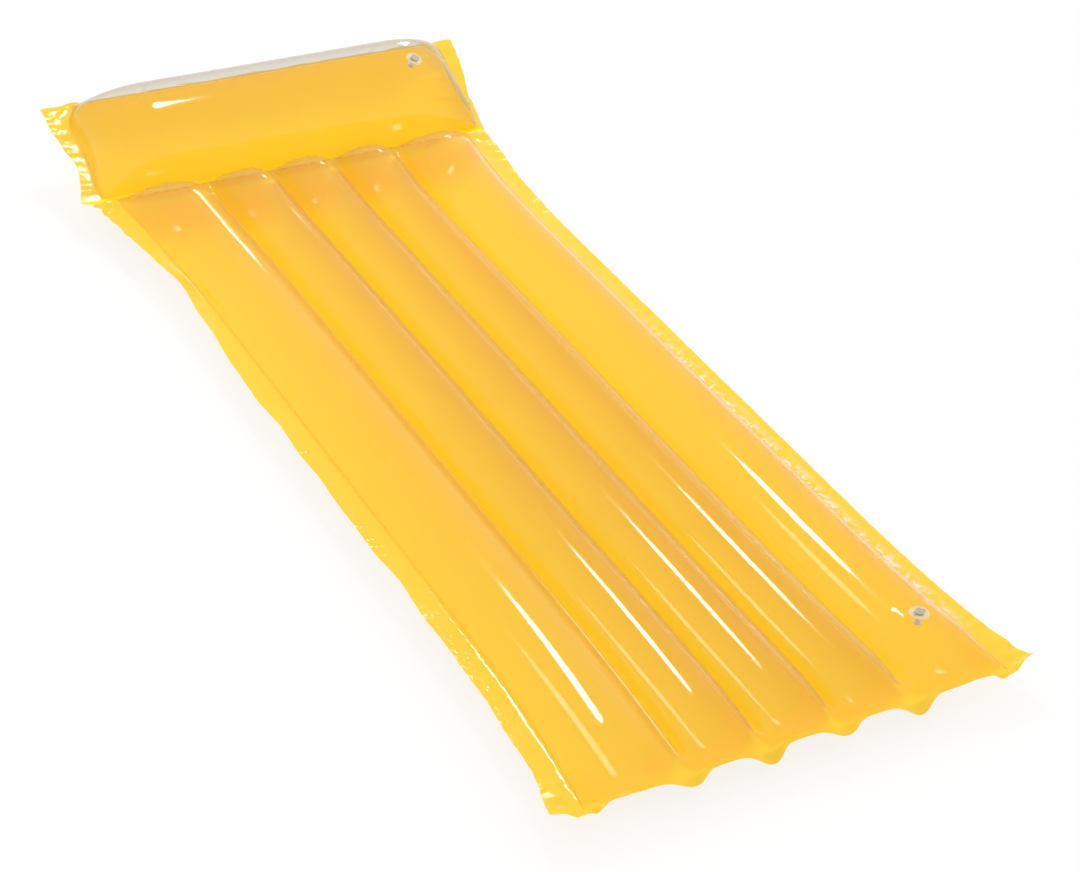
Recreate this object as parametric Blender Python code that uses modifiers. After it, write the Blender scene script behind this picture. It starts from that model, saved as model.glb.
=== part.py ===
"""Inflatable beach mattress: a body of five air channels and a separate pillow chamber.

Two plastic films, a clear one over a coloured one, are welded along their edges, along four
lines that part the channels, and across the head, where the pillow is its own air space. Each
air space has a push-in valve: a welded base, a stem that slides in it, a tethered plug and a
check flap. Units are metres, +Y runs from the foot to the head and +Z is up.
"""

import math

import bmesh
import bpy
from mathutils import Vector

# Film, and the gap that two pieces keep where they touch
FILM = 0.0003
FIT_GAP = 0.0003

# Body: the foot edge to the weld across the head, and the five channels
BODY_LENGTH = 1.470
CHANNEL_PITCH = 0.099
CHANNEL_WELD = 0.006
OUTER_CHANNEL_WIDTH = 0.128
CHANNEL_HALF_HEIGHT = 0.0455
INNER_WELDS = 4
ARC_STEPS = 5

# Welded edges of the body
SIDE_FLANGE = 0.036
FOOT_FLANGE = 0.012
CORNER_WIDTH = 0.690
CORNER_REACH = 0.130
WAIST_REACH = 0.340
WELD_SPREAD_SHARE = 0.08
FOOT_DRAW = 0.014
FOOT_CORNER_DRAW = 0.014
FOOT_CORNER_RISE = 0.008
FOOT_DRAW_REACH = 0.080

# How the channels close at their two ends, and the air passages past the ends of the welds
FOOT_DOME = 0.078
HEAD_DOME = 0.080
DOME_FULLNESS_SHARE = 0.60
PASSAGE = 0.030
PASSAGE_RISE = 0.009
DOME_STATION_SHARES = (0.0, 0.12, 0.32, 0.62, 1.0)
SPAN_STATION_SHARES = (0.06, 0.22, 0.42, 0.62, 0.82)

# Weld across the head, which the pillow lifts a little and folds on
CROSS_WELD = 0.008
HINGE_GAP = 0.0007
HEAD_RISE = 0.010
HEAD_RISE_REACH = 0.200

# Pillow: one round tube whose seams lie on a slant, because it rests on the ground
PILLOW_RADIUS = 0.093
PILLOW_FLAT_DEG = 16.0
PILLOW_SIDE = 0.332
PILLOW_SIDE_DRAW = 0.014
PILLOW_DOME = 0.110
PILLOW_FULLNESS_SHARE = 0.50
PILLOW_BACK_FLANGE = 0.007
PILLOW_SIDE_FLANGE = 0.021
PILLOW_CORNER = 0.007
PILLOW_DOME_STATION_SHARES = (0.0, 0.08, 0.28, 0.64, 1.0)
PILLOW_SPAN_STATION_SHARES = (-0.72, -0.36, 0.0, 0.36, 0.72)

# Where the body's valve sits; the pillow's is on the last facet before its end closes
VALVE_FROM_FOOT = 0.103

# Valve base: a flange welded under the clear film, with a collar that guides the stem
BASE_RADIUS = 0.0130
BASE_THICKNESS = 0.0008
COLLAR_DEPTH = 0.0040
COLLAR_WALL = 0.0016

# Valve stem
STEM_RADIUS = 0.00475
STEM_BORE_RADIUS = 0.00265
STEM_RIM_RADIUS = 0.0065
STEM_RIM_THICKNESS = 0.0010
STEM_TRAVEL = 0.0095
STEM_LIP_RADIUS = 0.0060
STEM_LIP_THICKNESS = 0.0008

# Valve plug on its tether, whose fold is the hinge
CAP_RADIUS = 0.00625
CAP_THICKNESS = 0.0012
CAP_CROWN = 0.0004
CAP_SHOULDER_SHARE = 0.75
PIN_LENGTH = 0.0040
PIN_TOP_RADIUS = 0.0023
PIN_TIP_RADIUS = 0.0016
TETHER_RADIUS = 0.0080
TETHER_WIDTH = 0.0040
TETHER_THICKNESS = 0.0007
FINGER_TAB = 0.0022
TETHER_STEP = 0.0001

# Check flap at the inner end of the stem
FLAP_RADIUS = 0.0042
FLAP_THICKNESS = 0.0006
FLAP_TAIL = 0.0050
FLAP_TAIL_WIDTH = 0.0036
FLAP_TAIL_STEP = 0.00012

# Turned pieces
TURN_STEPS = 24
MERGE = 0.0001
OVERLAP = 0.0005
LUG_STEP = 0.0002

# Worked out from the sizes above
WELD_HEIGHT = FIT_GAP / 2 + CHANNEL_HALF_HEIGHT + FILM
PILLOW_FLAT = math.radians(PILLOW_FLAT_DEG)
PILLOW_CENTRE = CROSS_WELD / 2 + PILLOW_RADIUS
PILLOW_FLAT_RADIUS = PILLOW_RADIUS * math.cos(PILLOW_FLAT / 2)
PILLOW_REST_HEIGHT = FIT_GAP / 2 + PILLOW_FLAT_RADIUS + FILM
WELD_EDGE = (INNER_WELDS - 1) / 2 * CHANNEL_PITCH + CHANNEL_WELD / 2
BODY_WELD_X = WELD_EDGE + OUTER_CHANNEL_WIDTH
BODY_EDGE_X = BODY_WELD_X + SIDE_FLANGE
FILM_HOLE_RADIUS = TETHER_RADIUS + FIT_GAP
CAP_BOTTOM = STEM_RIM_THICKNESS - FILM + FIT_GAP
HINGE_HEIGHT = CAP_BOTTOM - FIT_GAP / 2
BASE_TOP = -FILM - FIT_GAP
COLLAR_BOTTOM = BASE_TOP - BASE_THICKNESS - COLLAR_DEPTH
LIP_TOP = COLLAR_BOTTOM - STEM_TRAVEL - FIT_GAP
STEM_BOTTOM = LIP_TOP - STEM_LIP_THICKNESS
FLAP_TOP = STEM_BOTTOM - FIT_GAP
FLAP_HINGE_HEIGHT = FLAP_TOP + FIT_GAP / 2


def pillow_tilt():
    """Slant of the pillow's seams when its tube and the channels both rest on the ground."""
    return math.asin((PILLOW_REST_HEIGHT - WELD_HEIGHT - HEAD_RISE) / PILLOW_CENTRE)


def clear_scene():
    """Remove what a new scene holds."""
    for obj in list(bpy.data.objects):
        bpy.data.objects.remove(obj, do_unlink=True)


def new_collection(name):
    """A collection under the scene's own."""
    made = bpy.data.collections.new(name)
    bpy.context.scene.collection.children.link(made)
    return made


def new_material(name, colour, roughness, alpha=1.0):
    """A plastic with one colour."""
    made = bpy.data.materials.new(name)
    made.use_nodes = True
    shader = made.node_tree.nodes["Principled BSDF"]
    shader.inputs["Base Color"].default_value = (*colour, 1.0)
    shader.inputs["Roughness"].default_value = roughness
    shader.inputs["Metallic"].default_value = 0.0
    shader.inputs["Alpha"].default_value = alpha
    return made


def new_object(name, mesh, group, finish=None, parent=None):
    """Link a mesh, or an empty where mesh is None."""
    made = bpy.data.objects.new(name, mesh)
    group.objects.link(made)
    if finish:
        mesh.materials.append(finish)
    if parent:
        made.parent = parent
    return made


def grid_mesh(name, columns, rows, place, facing_up):
    """A grid with a vertex at place(column, row) for each pair, facing up or down."""
    sheet = bmesh.new()
    bmesh.ops.create_grid(sheet, x_segments=len(columns) - 1, y_segments=len(rows) - 1, size=0.5)
    for vertex in sheet.verts:
        column = round((vertex.co.x + 0.5) * (len(columns) - 1))
        row = round((vertex.co.y + 0.5) * (len(rows) - 1))
        vertex.co = place(columns[column], rows[row])
    if not facing_up:
        bmesh.ops.reverse_faces(sheet, faces=sheet.faces)
    mesh = bpy.data.meshes.new(name)
    sheet.to_mesh(mesh)
    sheet.free()
    mesh.shade_smooth()
    return mesh


def add_film_wall(obj):
    """Give an inner film surface its thickness, outwards from the air."""
    wall = obj.modifiers.new("Film", "SOLIDIFY")
    wall.thickness = FILM
    wall.offset = 1.0
    wall.use_even_offset = True


def dome(distance, length, fullness):
    """How far a chamber has opened at a distance from its end weld, from 0 to 1."""
    along = min(max(distance / length, 0.0), 1.0)
    return (1 - (1 - along) ** 2) ** fullness


def fade(distance, reach):
    """1 at an end, falling smoothly to 0 at its reach."""
    return max(0.0, 1 - distance / reach) ** 2


def arc_of(width, steps):
    """(offset, height) of each vertex on a channel's arc, its middle facet at full height."""
    half_angle = 2 * math.atan(2 * CHANNEL_HALF_HEIGHT / width)
    half_angle = min(half_angle, math.pi / 2)
    radius = width / 2 / math.sin(half_angle)
    facet_height = math.cos(half_angle / steps) - math.cos(half_angle)
    points = []
    for step in range(steps + 1):
        angle = half_angle * (2 * step / steps - 1)
        height = CHANNEL_HALF_HEIGHT * (math.cos(angle) - math.cos(half_angle)) / facet_height
        points.append((radius * math.sin(angle), max(height, 0.0)))
    return points


def body_columns():
    """Across the body: (x at the waist, bulge, kind) of each line of vertices."""
    welds = [(step - (INNER_WELDS - 1) / 2) * CHANNEL_PITCH for step in range(INNER_WELDS)]
    lows = [-BODY_WELD_X] + [x + CHANNEL_WELD / 2 for x in welds]
    highs = [x - CHANNEL_WELD / 2 for x in welds] + [BODY_WELD_X]
    columns = [(-BODY_EDGE_X, 0.0, "edge")]
    for low, high in zip(lows, highs):
        centre = (low + high) / 2
        for offset, height in arc_of(high - low, ARC_STEPS):
            kind = "arc"
            if height == 0.0:
                kind = "seam" if abs(abs(centre + offset) - BODY_WELD_X) < FIT_GAP else "weld"
            columns.append((centre + offset, height, kind))
    columns.append((BODY_EDGE_X, 0.0, "edge"))
    return columns


def body_rows():
    """Along the body: distance of each line of vertices from the foot edge."""
    head = BODY_LENGTH - CROSS_WELD / 2
    rows = [0.0]
    rows += [FOOT_FLANGE + FOOT_DOME * share for share in DOME_STATION_SHARES]
    low = FOOT_FLANGE + FOOT_DOME
    span = head - HEAD_DOME - low
    rows += [low + span * share for share in SPAN_STATION_SHARES]
    rows += [head - HEAD_DOME * share for share in reversed(DOME_STATION_SHARES)]
    rows.append(BODY_LENGTH - HINGE_GAP / 2)
    return rows


def spread(row):
    """How much wider apart the welds are at a distance from the foot than at the waist."""
    end = min(row, BODY_LENGTH - row)
    return 1 + WELD_SPREAD_SHARE * fade(end, WAIST_REACH)


def body_point(column, row, side):
    """Where the body's inner film surface is; side is 1 for the top film, -1 for the bottom."""
    x_waist, bulge, kind = column
    head = BODY_LENGTH - CROSS_WELD / 2
    from_foot = row - FOOT_FLANGE
    from_head = head - row
    end = min(row, BODY_LENGTH - row)
    x = x_waist * spread(row)
    if kind == "edge":
        flare = CORNER_WIDTH / 2 - BODY_EDGE_X * (1 + WELD_SPREAD_SHARE)
        x += math.copysign(flare * fade(end, CORNER_REACH), x)
    opened = dome(from_foot, FOOT_DOME, DOME_FULLNESS_SHARE)
    opened *= dome(from_head, HEAD_DOME, DOME_FULLNESS_SHARE)
    height = bulge * opened
    nearest = min(from_foot, from_head)
    if kind == "weld" and 0 < nearest < PASSAGE:
        height = PASSAGE_RISE * math.sin(math.pi * nearest / PASSAGE)
    near_foot = fade(row, FOOT_DRAW_REACH)
    drawn = bulge / CHANNEL_HALF_HEIGHT * FOOT_DRAW
    lifted = HEAD_RISE * fade(BODY_LENGTH - row, HEAD_RISE_REACH)
    if kind == "edge":
        drawn = FOOT_CORNER_DRAW
        lifted += FOOT_CORNER_RISE * near_foot
    return Vector((x, row + drawn * near_foot, lifted + side * (FIT_GAP / 2 + height)))


def pillow_arc(flat_centre):
    """Angles from the front seam to the back seam, with one flat facet centred where asked."""
    flat_start = flat_centre - PILLOW_FLAT / 2
    flat_stop = flat_centre + PILLOW_FLAT / 2
    before = round(flat_start / PILLOW_FLAT)
    after = round((math.pi - flat_stop) / PILLOW_FLAT)
    angles = [flat_start * step / before for step in range(before)]
    angles += [flat_stop + (math.pi - flat_stop) * step / after for step in range(after + 1)]
    return angles[:before] + [flat_start] + angles[before:]


def pillow_rows(flat_centre):
    """From the hinge to the back edge: (distance in the seam plane, bulge) of each line."""
    rows = [(HINGE_GAP / 2, 0.0)]
    for angle in pillow_arc(flat_centre):
        reach = PILLOW_CENTRE - PILLOW_RADIUS * math.cos(angle)
        bulge = PILLOW_RADIUS * math.sin(angle)
        rows.append((reach, bulge if 0 < angle < math.pi else 0.0))
    rows.append((PILLOW_CENTRE + PILLOW_RADIUS + PILLOW_BACK_FLANGE, 0.0))
    return rows


def pillow_columns():
    """Across the pillow: (kind, value) of each line of vertices, from -X to +X."""
    inner = PILLOW_SIDE - PILLOW_SIDE_DRAW - PILLOW_DOME
    dome_lines = [(-1, PILLOW_DOME * share) for share in PILLOW_DOME_STATION_SHARES]
    columns = [(-1, -PILLOW_SIDE_FLANGE)] + dome_lines
    columns += [(0, inner * share) for share in PILLOW_SPAN_STATION_SHARES]
    columns += [(1, distance) for _, distance in reversed(dome_lines)]
    return columns + [(1, -PILLOW_SIDE_FLANGE)]


def pillow_point(column, row, side):
    """Where the pillow's inner film surface is, in the plane of its seams."""
    end, distance = column
    reach, bulge = row
    along = min(max(reach / (2 * PILLOW_CENTRE), 0.0), 1.0)
    seam = PILLOW_SIDE - PILLOW_SIDE_DRAW * math.sin(math.pi * along)
    if end == 0:
        x = distance
        opened = 1.0
    else:
        x = end * (seam - distance)
        opened = dome(distance, PILLOW_DOME, PILLOW_FULLNESS_SHARE)
        if distance < 0:
            x += end * PILLOW_CORNER * (2 * along - 1) ** 2
            opened = 0.0
    return Vector((x, reach, side * (FIT_GAP / 2 + bulge * opened)))


def pillow_end_facet():
    """Middle and slope of the crown's last facet on the +X side, in the seams' plane."""
    crown = (PILLOW_CENTRE, PILLOW_FLAT_RADIUS)
    outer, inner = [PILLOW_DOME * share for share in PILLOW_DOME_STATION_SHARES[-2:]]
    low = pillow_point((1, outer), crown, 1)
    high = pillow_point((1, inner), crown, 1)
    return (low + high) / 2, math.atan2(high.z - low.z, low.x - high.x)


def turned(name, profile, group, finish, parent):
    """A profile of (radius, height), down its outer side, turned about Z."""
    points = [(radius, 0.0, height) for radius, height in profile]
    edges = [(i, i + 1) for i in range(len(points) - 1)]
    if profile[0][0] > 0.0:
        edges.append((len(points) - 1, 0))
    mesh = bpy.data.meshes.new(name)
    mesh.from_pydata(points, edges, [])
    made = new_object(name, mesh, group, finish, parent)
    turn = made.modifiers.new("Turn", "SCREW")
    turn.steps = TURN_STEPS
    turn.render_steps = TURN_STEPS
    turn.use_merge_vertices = True
    turn.merge_threshold = MERGE
    turn.use_smooth_shade = True
    return made


def block(name, low, high, group, parent):
    """A box between two corners, kept as a helper."""
    mesh = bpy.data.meshes.new(name)
    solid = bmesh.new()
    bmesh.ops.create_cube(solid, size=1.0)
    size = Vector(high) - Vector(low)
    middle = (Vector(high) + Vector(low)) / 2
    bmesh.ops.scale(solid, vec=size, verts=solid.verts)
    bmesh.ops.translate(solid, vec=middle, verts=solid.verts)
    solid.to_mesh(mesh)
    solid.free()
    return as_helper(new_object(name, mesh, group, parent=parent))


def rod(name, radius, low, high, group, parent):
    """A round helper along Z."""
    mesh = bpy.data.meshes.new(name)
    solid = bmesh.new()
    bmesh.ops.create_cone(
        solid, cap_ends=True, segments=TURN_STEPS, radius1=radius, radius2=radius, depth=high - low
    )
    bmesh.ops.translate(solid, vec=(0.0, 0.0, (low + high) / 2), verts=solid.verts)
    solid.to_mesh(mesh)
    solid.free()
    return as_helper(new_object(name, mesh, group, parent=parent))


def as_helper(obj):
    """Keep a cutter or a joined shape out of the finished part."""
    obj.hide_render = True
    obj.display_type = "WIRE"
    return obj


def combine(obj, other, operation):
    """Cut or join one piece with a helper."""
    step = obj.modifiers.new(other.name, "BOOLEAN")
    step.operation = operation
    step.object = other


def valve_base(name, parts, finish, seat):
    """Flange under the film, with the collar that the stem slides in."""
    bore = STEM_RADIUS + FIT_GAP
    base_bottom = BASE_TOP - BASE_THICKNESS
    profile = [
        (bore, BASE_TOP),
        (BASE_RADIUS, BASE_TOP),
        (BASE_RADIUS, base_bottom),
        (bore + COLLAR_WALL, base_bottom),
        (bore + COLLAR_WALL, COLLAR_BOTTOM),
        (bore, COLLAR_BOTTOM),
    ]
    return turned(name, profile, parts, finish, seat)


def valve_stem(name, parts, helpers, finish, seat):
    """Tube with a rim above the flange, a lip that stops it below, and the tether's lug."""
    rim_bottom = BASE_TOP + FIT_GAP
    rim_top = rim_bottom + STEM_RIM_THICKNESS
    profile = [
        (STEM_BORE_RADIUS, rim_top),
        (STEM_RIM_RADIUS, rim_top),
        (STEM_RIM_RADIUS, rim_bottom),
        (STEM_RADIUS, rim_bottom),
        (STEM_RADIUS, LIP_TOP),
        (STEM_LIP_RADIUS, LIP_TOP),
        (STEM_LIP_RADIUS, STEM_BOTTOM),
        (STEM_BORE_RADIUS, STEM_BOTTOM),
    ]
    stem = turned(name, profile, parts, finish, seat)
    low = (STEM_RADIUS, -TETHER_WIDTH / 2, rim_bottom + LUG_STEP)
    high = (TETHER_RADIUS - FIT_GAP / 2, TETHER_WIDTH / 2, rim_top - LUG_STEP)
    combine(stem, block(name + "_lug", low, high, helpers, seat), "UNION")
    return stem


def valve_plug(name, parts, helpers, finish, seat):
    """Cap with a tapered pin, a finger tab and the tether that it folds on."""
    fold = new_object(name + "_fold", None, parts, parent=seat)
    fold.location = (TETHER_RADIUS, 0.0, HINGE_HEIGHT)
    cap_top = CAP_BOTTOM + CAP_THICKNESS
    profile = [
        (0.0, cap_top + CAP_CROWN),
        (CAP_RADIUS / 2, cap_top + CAP_CROWN * CAP_SHOULDER_SHARE),
        (CAP_RADIUS, cap_top),
        (CAP_RADIUS, CAP_BOTTOM),
        (PIN_TOP_RADIUS, CAP_BOTTOM),
        (PIN_TIP_RADIUS, CAP_BOTTOM - PIN_LENGTH),
        (0.0, CAP_BOTTOM - PIN_LENGTH),
    ]
    plug = turned(name, profile, parts, finish, fold)
    plug.location = -fold.location
    strap_bottom = CAP_BOTTOM + TETHER_STEP
    strap_top = strap_bottom + TETHER_THICKNESS
    low = (CAP_RADIUS - OVERLAP, -TETHER_WIDTH / 2, strap_bottom)
    high = (TETHER_RADIUS, TETHER_WIDTH / 2, strap_top)
    tether = block(name + "_tether", low, high, helpers, fold)
    tether.location = plug.location
    combine(plug, tether, "UNION")
    low = (-CAP_RADIUS - FINGER_TAB, -TETHER_WIDTH / 2, strap_bottom)
    high = (-CAP_RADIUS + OVERLAP, TETHER_WIDTH / 2, strap_top)
    tab = block(name + "_tab", low, high, helpers, fold)
    tab.location = plug.location
    combine(plug, tab, "UNION")
    return plug


def valve_flap(name, parts, helpers, finish, seat):
    """Disc that shuts the stem from inside, with the tail that it folds on."""
    fold = new_object(name + "_fold", None, parts, parent=seat)
    fold.location = (-FLAP_TAIL, 0.0, FLAP_HINGE_HEIGHT)
    profile = [
        (0.0, FLAP_TOP),
        (FLAP_RADIUS, FLAP_TOP),
        (FLAP_RADIUS, FLAP_TOP - FLAP_THICKNESS),
        (0.0, FLAP_TOP - FLAP_THICKNESS),
    ]
    flap = turned(name, profile, parts, finish, fold)
    flap.location = -fold.location
    low = (-FLAP_TAIL, -FLAP_TAIL_WIDTH / 2, FLAP_TOP - FLAP_THICKNESS + FLAP_TAIL_STEP)
    high = (-FLAP_RADIUS / 2, FLAP_TAIL_WIDTH / 2, FLAP_TOP - FLAP_TAIL_STEP)
    tail = block(name + "_tail", low, high, helpers, fold)
    tail.location = flap.location
    combine(flap, tail, "UNION")
    return flap


def add_valve(chamber, film, seat, parts, helpers, finishes):
    """The four pieces of one valve, and its hole in the film."""
    hole = rod(chamber + "_valve_hole", FILM_HOLE_RADIUS, COLLAR_BOTTOM, -COLLAR_BOTTOM, helpers, seat)
    combine(film, hole, "DIFFERENCE")
    valve_base(chamber + "_valve_base", parts, finishes["base"], seat)
    valve_stem(chamber + "_valve_stem", parts, helpers, finishes["stem"], seat)
    valve_plug(chamber + "_valve_plug", parts, helpers, finishes["plug"], seat)
    valve_flap(chamber + "_valve_flap", parts, helpers, finishes["flap"], seat)


def add_body(parts, helpers, finishes, root):
    """The two films of the body, and its valve."""
    weld_plane = new_object("weld_plane", None, parts, parent=root)
    weld_plane.location = (0.0, 0.0, WELD_HEIGHT)
    films = {}
    for name, side, finish in (("top", 1, "clear"), ("bottom", -1, "coloured")):
        mesh = grid_mesh(
            name, body_columns(), body_rows(), lambda c, r, s=side: body_point(c, r, s), side > 0
        )
        films[name] = new_object(
            "mattress_" + name + "_film", mesh, parts, finishes[finish], weld_plane
        )
        add_film_wall(films[name])
    seat = new_object("mattress_valve_seat", None, parts, parent=weld_plane)
    crest = (BODY_WELD_X - OUTER_CHANNEL_WIDTH / 2) * spread(VALVE_FROM_FOOT)
    seat.location = (crest, VALVE_FROM_FOOT, FIT_GAP / 2 + CHANNEL_HALF_HEIGHT + FILM)
    add_valve("mattress", films["top"], seat, parts, helpers, finishes)


def add_pillow(parts, helpers, finishes, root):
    """The two films of the pillow, on the fold across the head, and its valve."""
    tilt = pillow_tilt()
    fold = new_object("pillow_fold", None, parts, parent=root)
    fold.location = (0.0, BODY_LENGTH, WELD_HEIGHT + HEAD_RISE)
    fold.rotation_euler = (tilt, 0.0, 0.0)
    films = {}
    flats = {"top": math.pi / 2, "bottom": math.pi / 2 - tilt}
    for name, side, finish in (("top", 1, "clear"), ("bottom", -1, "coloured")):
        mesh = grid_mesh(
            name,
            pillow_columns(),
            pillow_rows(flats[name]),
            lambda c, r, s=side: pillow_point(c, r, s),
            side > 0,
        )
        films[name] = new_object("pillow_" + name + "_film", mesh, parts, finishes[finish], fold)
        add_film_wall(films[name])
    seat = new_object("pillow_valve_seat", None, parts, parent=fold)
    centre, slope = pillow_end_facet()
    outwards = Vector((math.sin(slope), 0.0, math.cos(slope)))
    seat.location = centre + FILM * outwards
    seat.rotation_euler = (0.0, slope, 0.0)
    add_valve("pillow", films["top"], seat, parts, helpers, finishes)


def centre_lengthways(parts, root):
    """Move the whole part along Y until its origin is half way between foot and head."""
    bpy.context.view_layer.update()
    graph = bpy.context.evaluated_depsgraph_get()
    places = []
    for obj in parts.objects:
        if obj.type == "MESH":
            seen = obj.evaluated_get(graph)
            mesh = seen.to_mesh()
            places += [(seen.matrix_world @ vertex.co).y for vertex in mesh.vertices]
            seen.to_mesh_clear()
    root.location.y = -(min(places) + max(places)) / 2


def main():
    """Build the mattress."""
    clear_scene()
    parts = new_collection("beach_mattress")
    helpers = new_collection("cutters")
    finishes = {
        "clear": new_material("clear_film", (0.95, 0.93, 0.88), 0.08, alpha=0.3),
        "coloured": new_material("yellow_film", (0.99, 0.58, 0.03), 0.15, alpha=0.9),
        "base": new_material("valve_base_vinyl", (0.86, 0.84, 0.78), 0.35),
        "stem": new_material("valve_stem_vinyl", (0.78, 0.78, 0.76), 0.35),
        "plug": new_material("valve_plug_vinyl", (0.62, 0.63, 0.62), 0.40),
        "flap": new_material("valve_flap_vinyl", (0.70, 0.70, 0.68), 0.45),
    }
    root = new_object("mattress_root", None, parts)
    add_body(parts, helpers, finishes, root)
    add_pillow(parts, helpers, finishes, root)
    centre_lengthways(parts, root)


main()
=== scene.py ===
"""Looks of an inflatable beach mattress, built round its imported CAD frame.

A clear film over a coloured one is welded into five channels and a pillow. Each film is drawn
from the mattress's own sizes, blown up as cloth, and then gets its creases, puckers and welds.
Lengths are in metres where nothing else is said.
"""

import itertools
import logging
import math
from abc import ABC, abstractmethod
from collections.abc import Sequence
from dataclasses import dataclass
from enum import Enum

import bmesh
import bpy
import numpy as np
from mathutils import Matrix, Vector


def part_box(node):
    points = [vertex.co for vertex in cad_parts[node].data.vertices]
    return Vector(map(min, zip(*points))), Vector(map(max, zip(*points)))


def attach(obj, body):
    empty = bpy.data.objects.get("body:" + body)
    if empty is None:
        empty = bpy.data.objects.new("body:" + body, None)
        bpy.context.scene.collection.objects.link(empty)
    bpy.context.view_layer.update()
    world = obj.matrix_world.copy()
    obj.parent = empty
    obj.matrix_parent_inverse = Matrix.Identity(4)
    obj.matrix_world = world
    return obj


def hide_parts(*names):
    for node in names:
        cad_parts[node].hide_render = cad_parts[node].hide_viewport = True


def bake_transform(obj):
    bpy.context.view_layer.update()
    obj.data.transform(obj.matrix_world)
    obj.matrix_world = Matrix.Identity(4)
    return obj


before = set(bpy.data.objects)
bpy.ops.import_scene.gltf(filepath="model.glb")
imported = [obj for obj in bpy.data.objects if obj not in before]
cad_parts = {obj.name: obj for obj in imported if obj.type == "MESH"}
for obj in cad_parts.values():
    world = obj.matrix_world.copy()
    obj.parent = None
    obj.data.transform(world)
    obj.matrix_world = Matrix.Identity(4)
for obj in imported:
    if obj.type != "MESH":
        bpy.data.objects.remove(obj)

Array = np.ndarray
Pair = tuple[float, float]
Profile = list[Pair]
log = logging.getLogger("mattress")

# The sheets and the gap that two of them keep, as in the CAD model
FILM = 0.0003
FIT_GAP = 0.0003
# Two places closer than this are one
SAME_PLACE = 1e-6


class Layer(Enum):
    """Which of the two films, as its side of the weld plane."""

    CLEAR = 1
    COLOURED = -1

    @property
    def word(self) -> str:
        """What the layer is called in the names of pieces."""
        return "clear" if self is Layer.CLEAR else "yellow"


def linear(code: str) -> tuple[float, float, float, float]:
    """Turn an sRGB hex colour into linear light.

    Args:
        code: Six hex digits.

    Returns:
        Red, green, blue and an alpha of 1.
    """
    shares = [int(code[i : i + 2], 16) / 255 for i in (0, 2, 4)]
    r, g, b = (s / 12.92 if s <= 0.04045 else ((s + 0.055) / 1.055) ** 2.4 for s in shares)
    return r, g, b, 1.0


def add_node(tree: bpy.types.NodeTree, kind: str, /, **inputs: object) -> bpy.types.Node:
    """Add a node with its settings and links.

    Args:
        tree: The tree that gets it.
        kind: The node's type name.
        **inputs: Properties by name, and sockets as in_NAME or in_NUMBER with _ for a space. A
            socket takes a value, another node's output, or another node for its first output.

    Returns:
        The node.
    """
    node = tree.nodes.new(kind)
    for key, value in inputs.items():
        if not key.startswith("in_"):
            setattr(node, key, value)
    for key, value in inputs.items():
        if key.startswith("in_"):
            name = key[3:]
            socket = node.inputs[int(name) if name.isdigit() else name.replace("_", " ")]
            if isinstance(value, bpy.types.Node):
                value = value.outputs[0]
            if isinstance(value, bpy.types.NodeSocket):
                tree.links.new(value, socket)
            else:
                socket.default_value = value
    return node


def empty_tree(made: bpy.types.Material | bpy.types.World) -> bpy.types.NodeTree:
    """Switch a material or a world to nodes, and take out the ones that it starts with.

    Args:
        made: The material or world.

    Returns:
        Its empty node tree.
    """
    made.use_nodes = True
    made.node_tree.nodes.clear()
    return made.node_tree


def placed(name: str, data: bpy.types.ID) -> bpy.types.Object:
    """Make an object and link it to the scene.

    Args:
        name: Its name.
        data: Its mesh, lamp or camera.

    Returns:
        The object.
    """
    made = bpy.data.objects.new(name, data)
    bpy.context.scene.collection.objects.link(made)
    return made


def carried(points: Array, place: Matrix) -> Array:
    """Take points, with x, y and z in their last row, from a place's axes to the object's."""
    outwards = np.array(place, float)
    return points @ outwards[:3, :3].T + outwards[:3, 3]


def dome(distance: Array, length: float, fullness: float) -> Array:
    """How far a chamber has opened at a distance from its end weld, from 0 to 1."""
    along = np.clip(distance / length, 0.0, 1.0)
    return (1 - (1 - along) ** 2) ** fullness


def fade(distance: Array, reach: float) -> Array:
    """1 at an end, falling smoothly to 0 at its reach."""
    return np.clip(1 - distance / reach, 0.0, None) ** 2


def smooth_step(values: Array, low: float, high: float) -> Array:
    """0 below low, 1 above high and a smooth rise between."""
    share = np.clip((values - low) / (high - low), 0.0, 1.0)
    return share * share * (3 - 2 * share)


def swell(distance: Array, width: float) -> Array:
    """1 at a place, falling to both sides as a bell does."""
    return np.exp(-((distance / width) ** 2))


def ripple(along: Array, lengths: Sequence[float], seed: int) -> Array:
    """A wave that never quite repeats.

    Args:
        along: Distances along it.
        lengths: The wavelengths that it is made of.
        seed: Which wave of its kind.

    Returns:
        Heights from -1 to 1.
    """
    turns = np.random.default_rng(seed).uniform(0, 2 * math.pi, len(lengths))
    waves = [np.sin(2 * math.pi * along / size + turn) for size, turn in zip(lengths, turns)]
    return np.mean(waves, axis=0)


@dataclass(frozen=True)
class Pleats:
    """Pleats that fan out round a corner of a weld.

    Attributes:
        reach: How far they run.
        height: Their height beside the corner.
        rise: Where they begin to rise, and where they are at their height.
        folds: How many a whole turn has.
        phase: Where the first one is, in radians.
    """

    reach: float
    height: float
    rise: Pair = (0.004, 0.030)
    folds: int = 5
    phase: float = 0.6

    def heights(self, points: Array, corner: Pair) -> Array:
        """How high the pleats are.

        Args:
            points: Points x 2 or more, of which the first two count.
            corner: Where the weld turns.

        Returns:
            A height for each point.
        """
        away = points[:, :2] - np.array(corner)
        turn = np.arctan2(away[:, 1], np.abs(away[:, 0]))
        distance = np.hypot(away[:, 0], away[:, 1])
        strength = smooth_step(distance, *self.rise) * fade(distance, self.reach)
        return self.height * strength * np.cos(self.folds * turn + self.phase)


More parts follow.
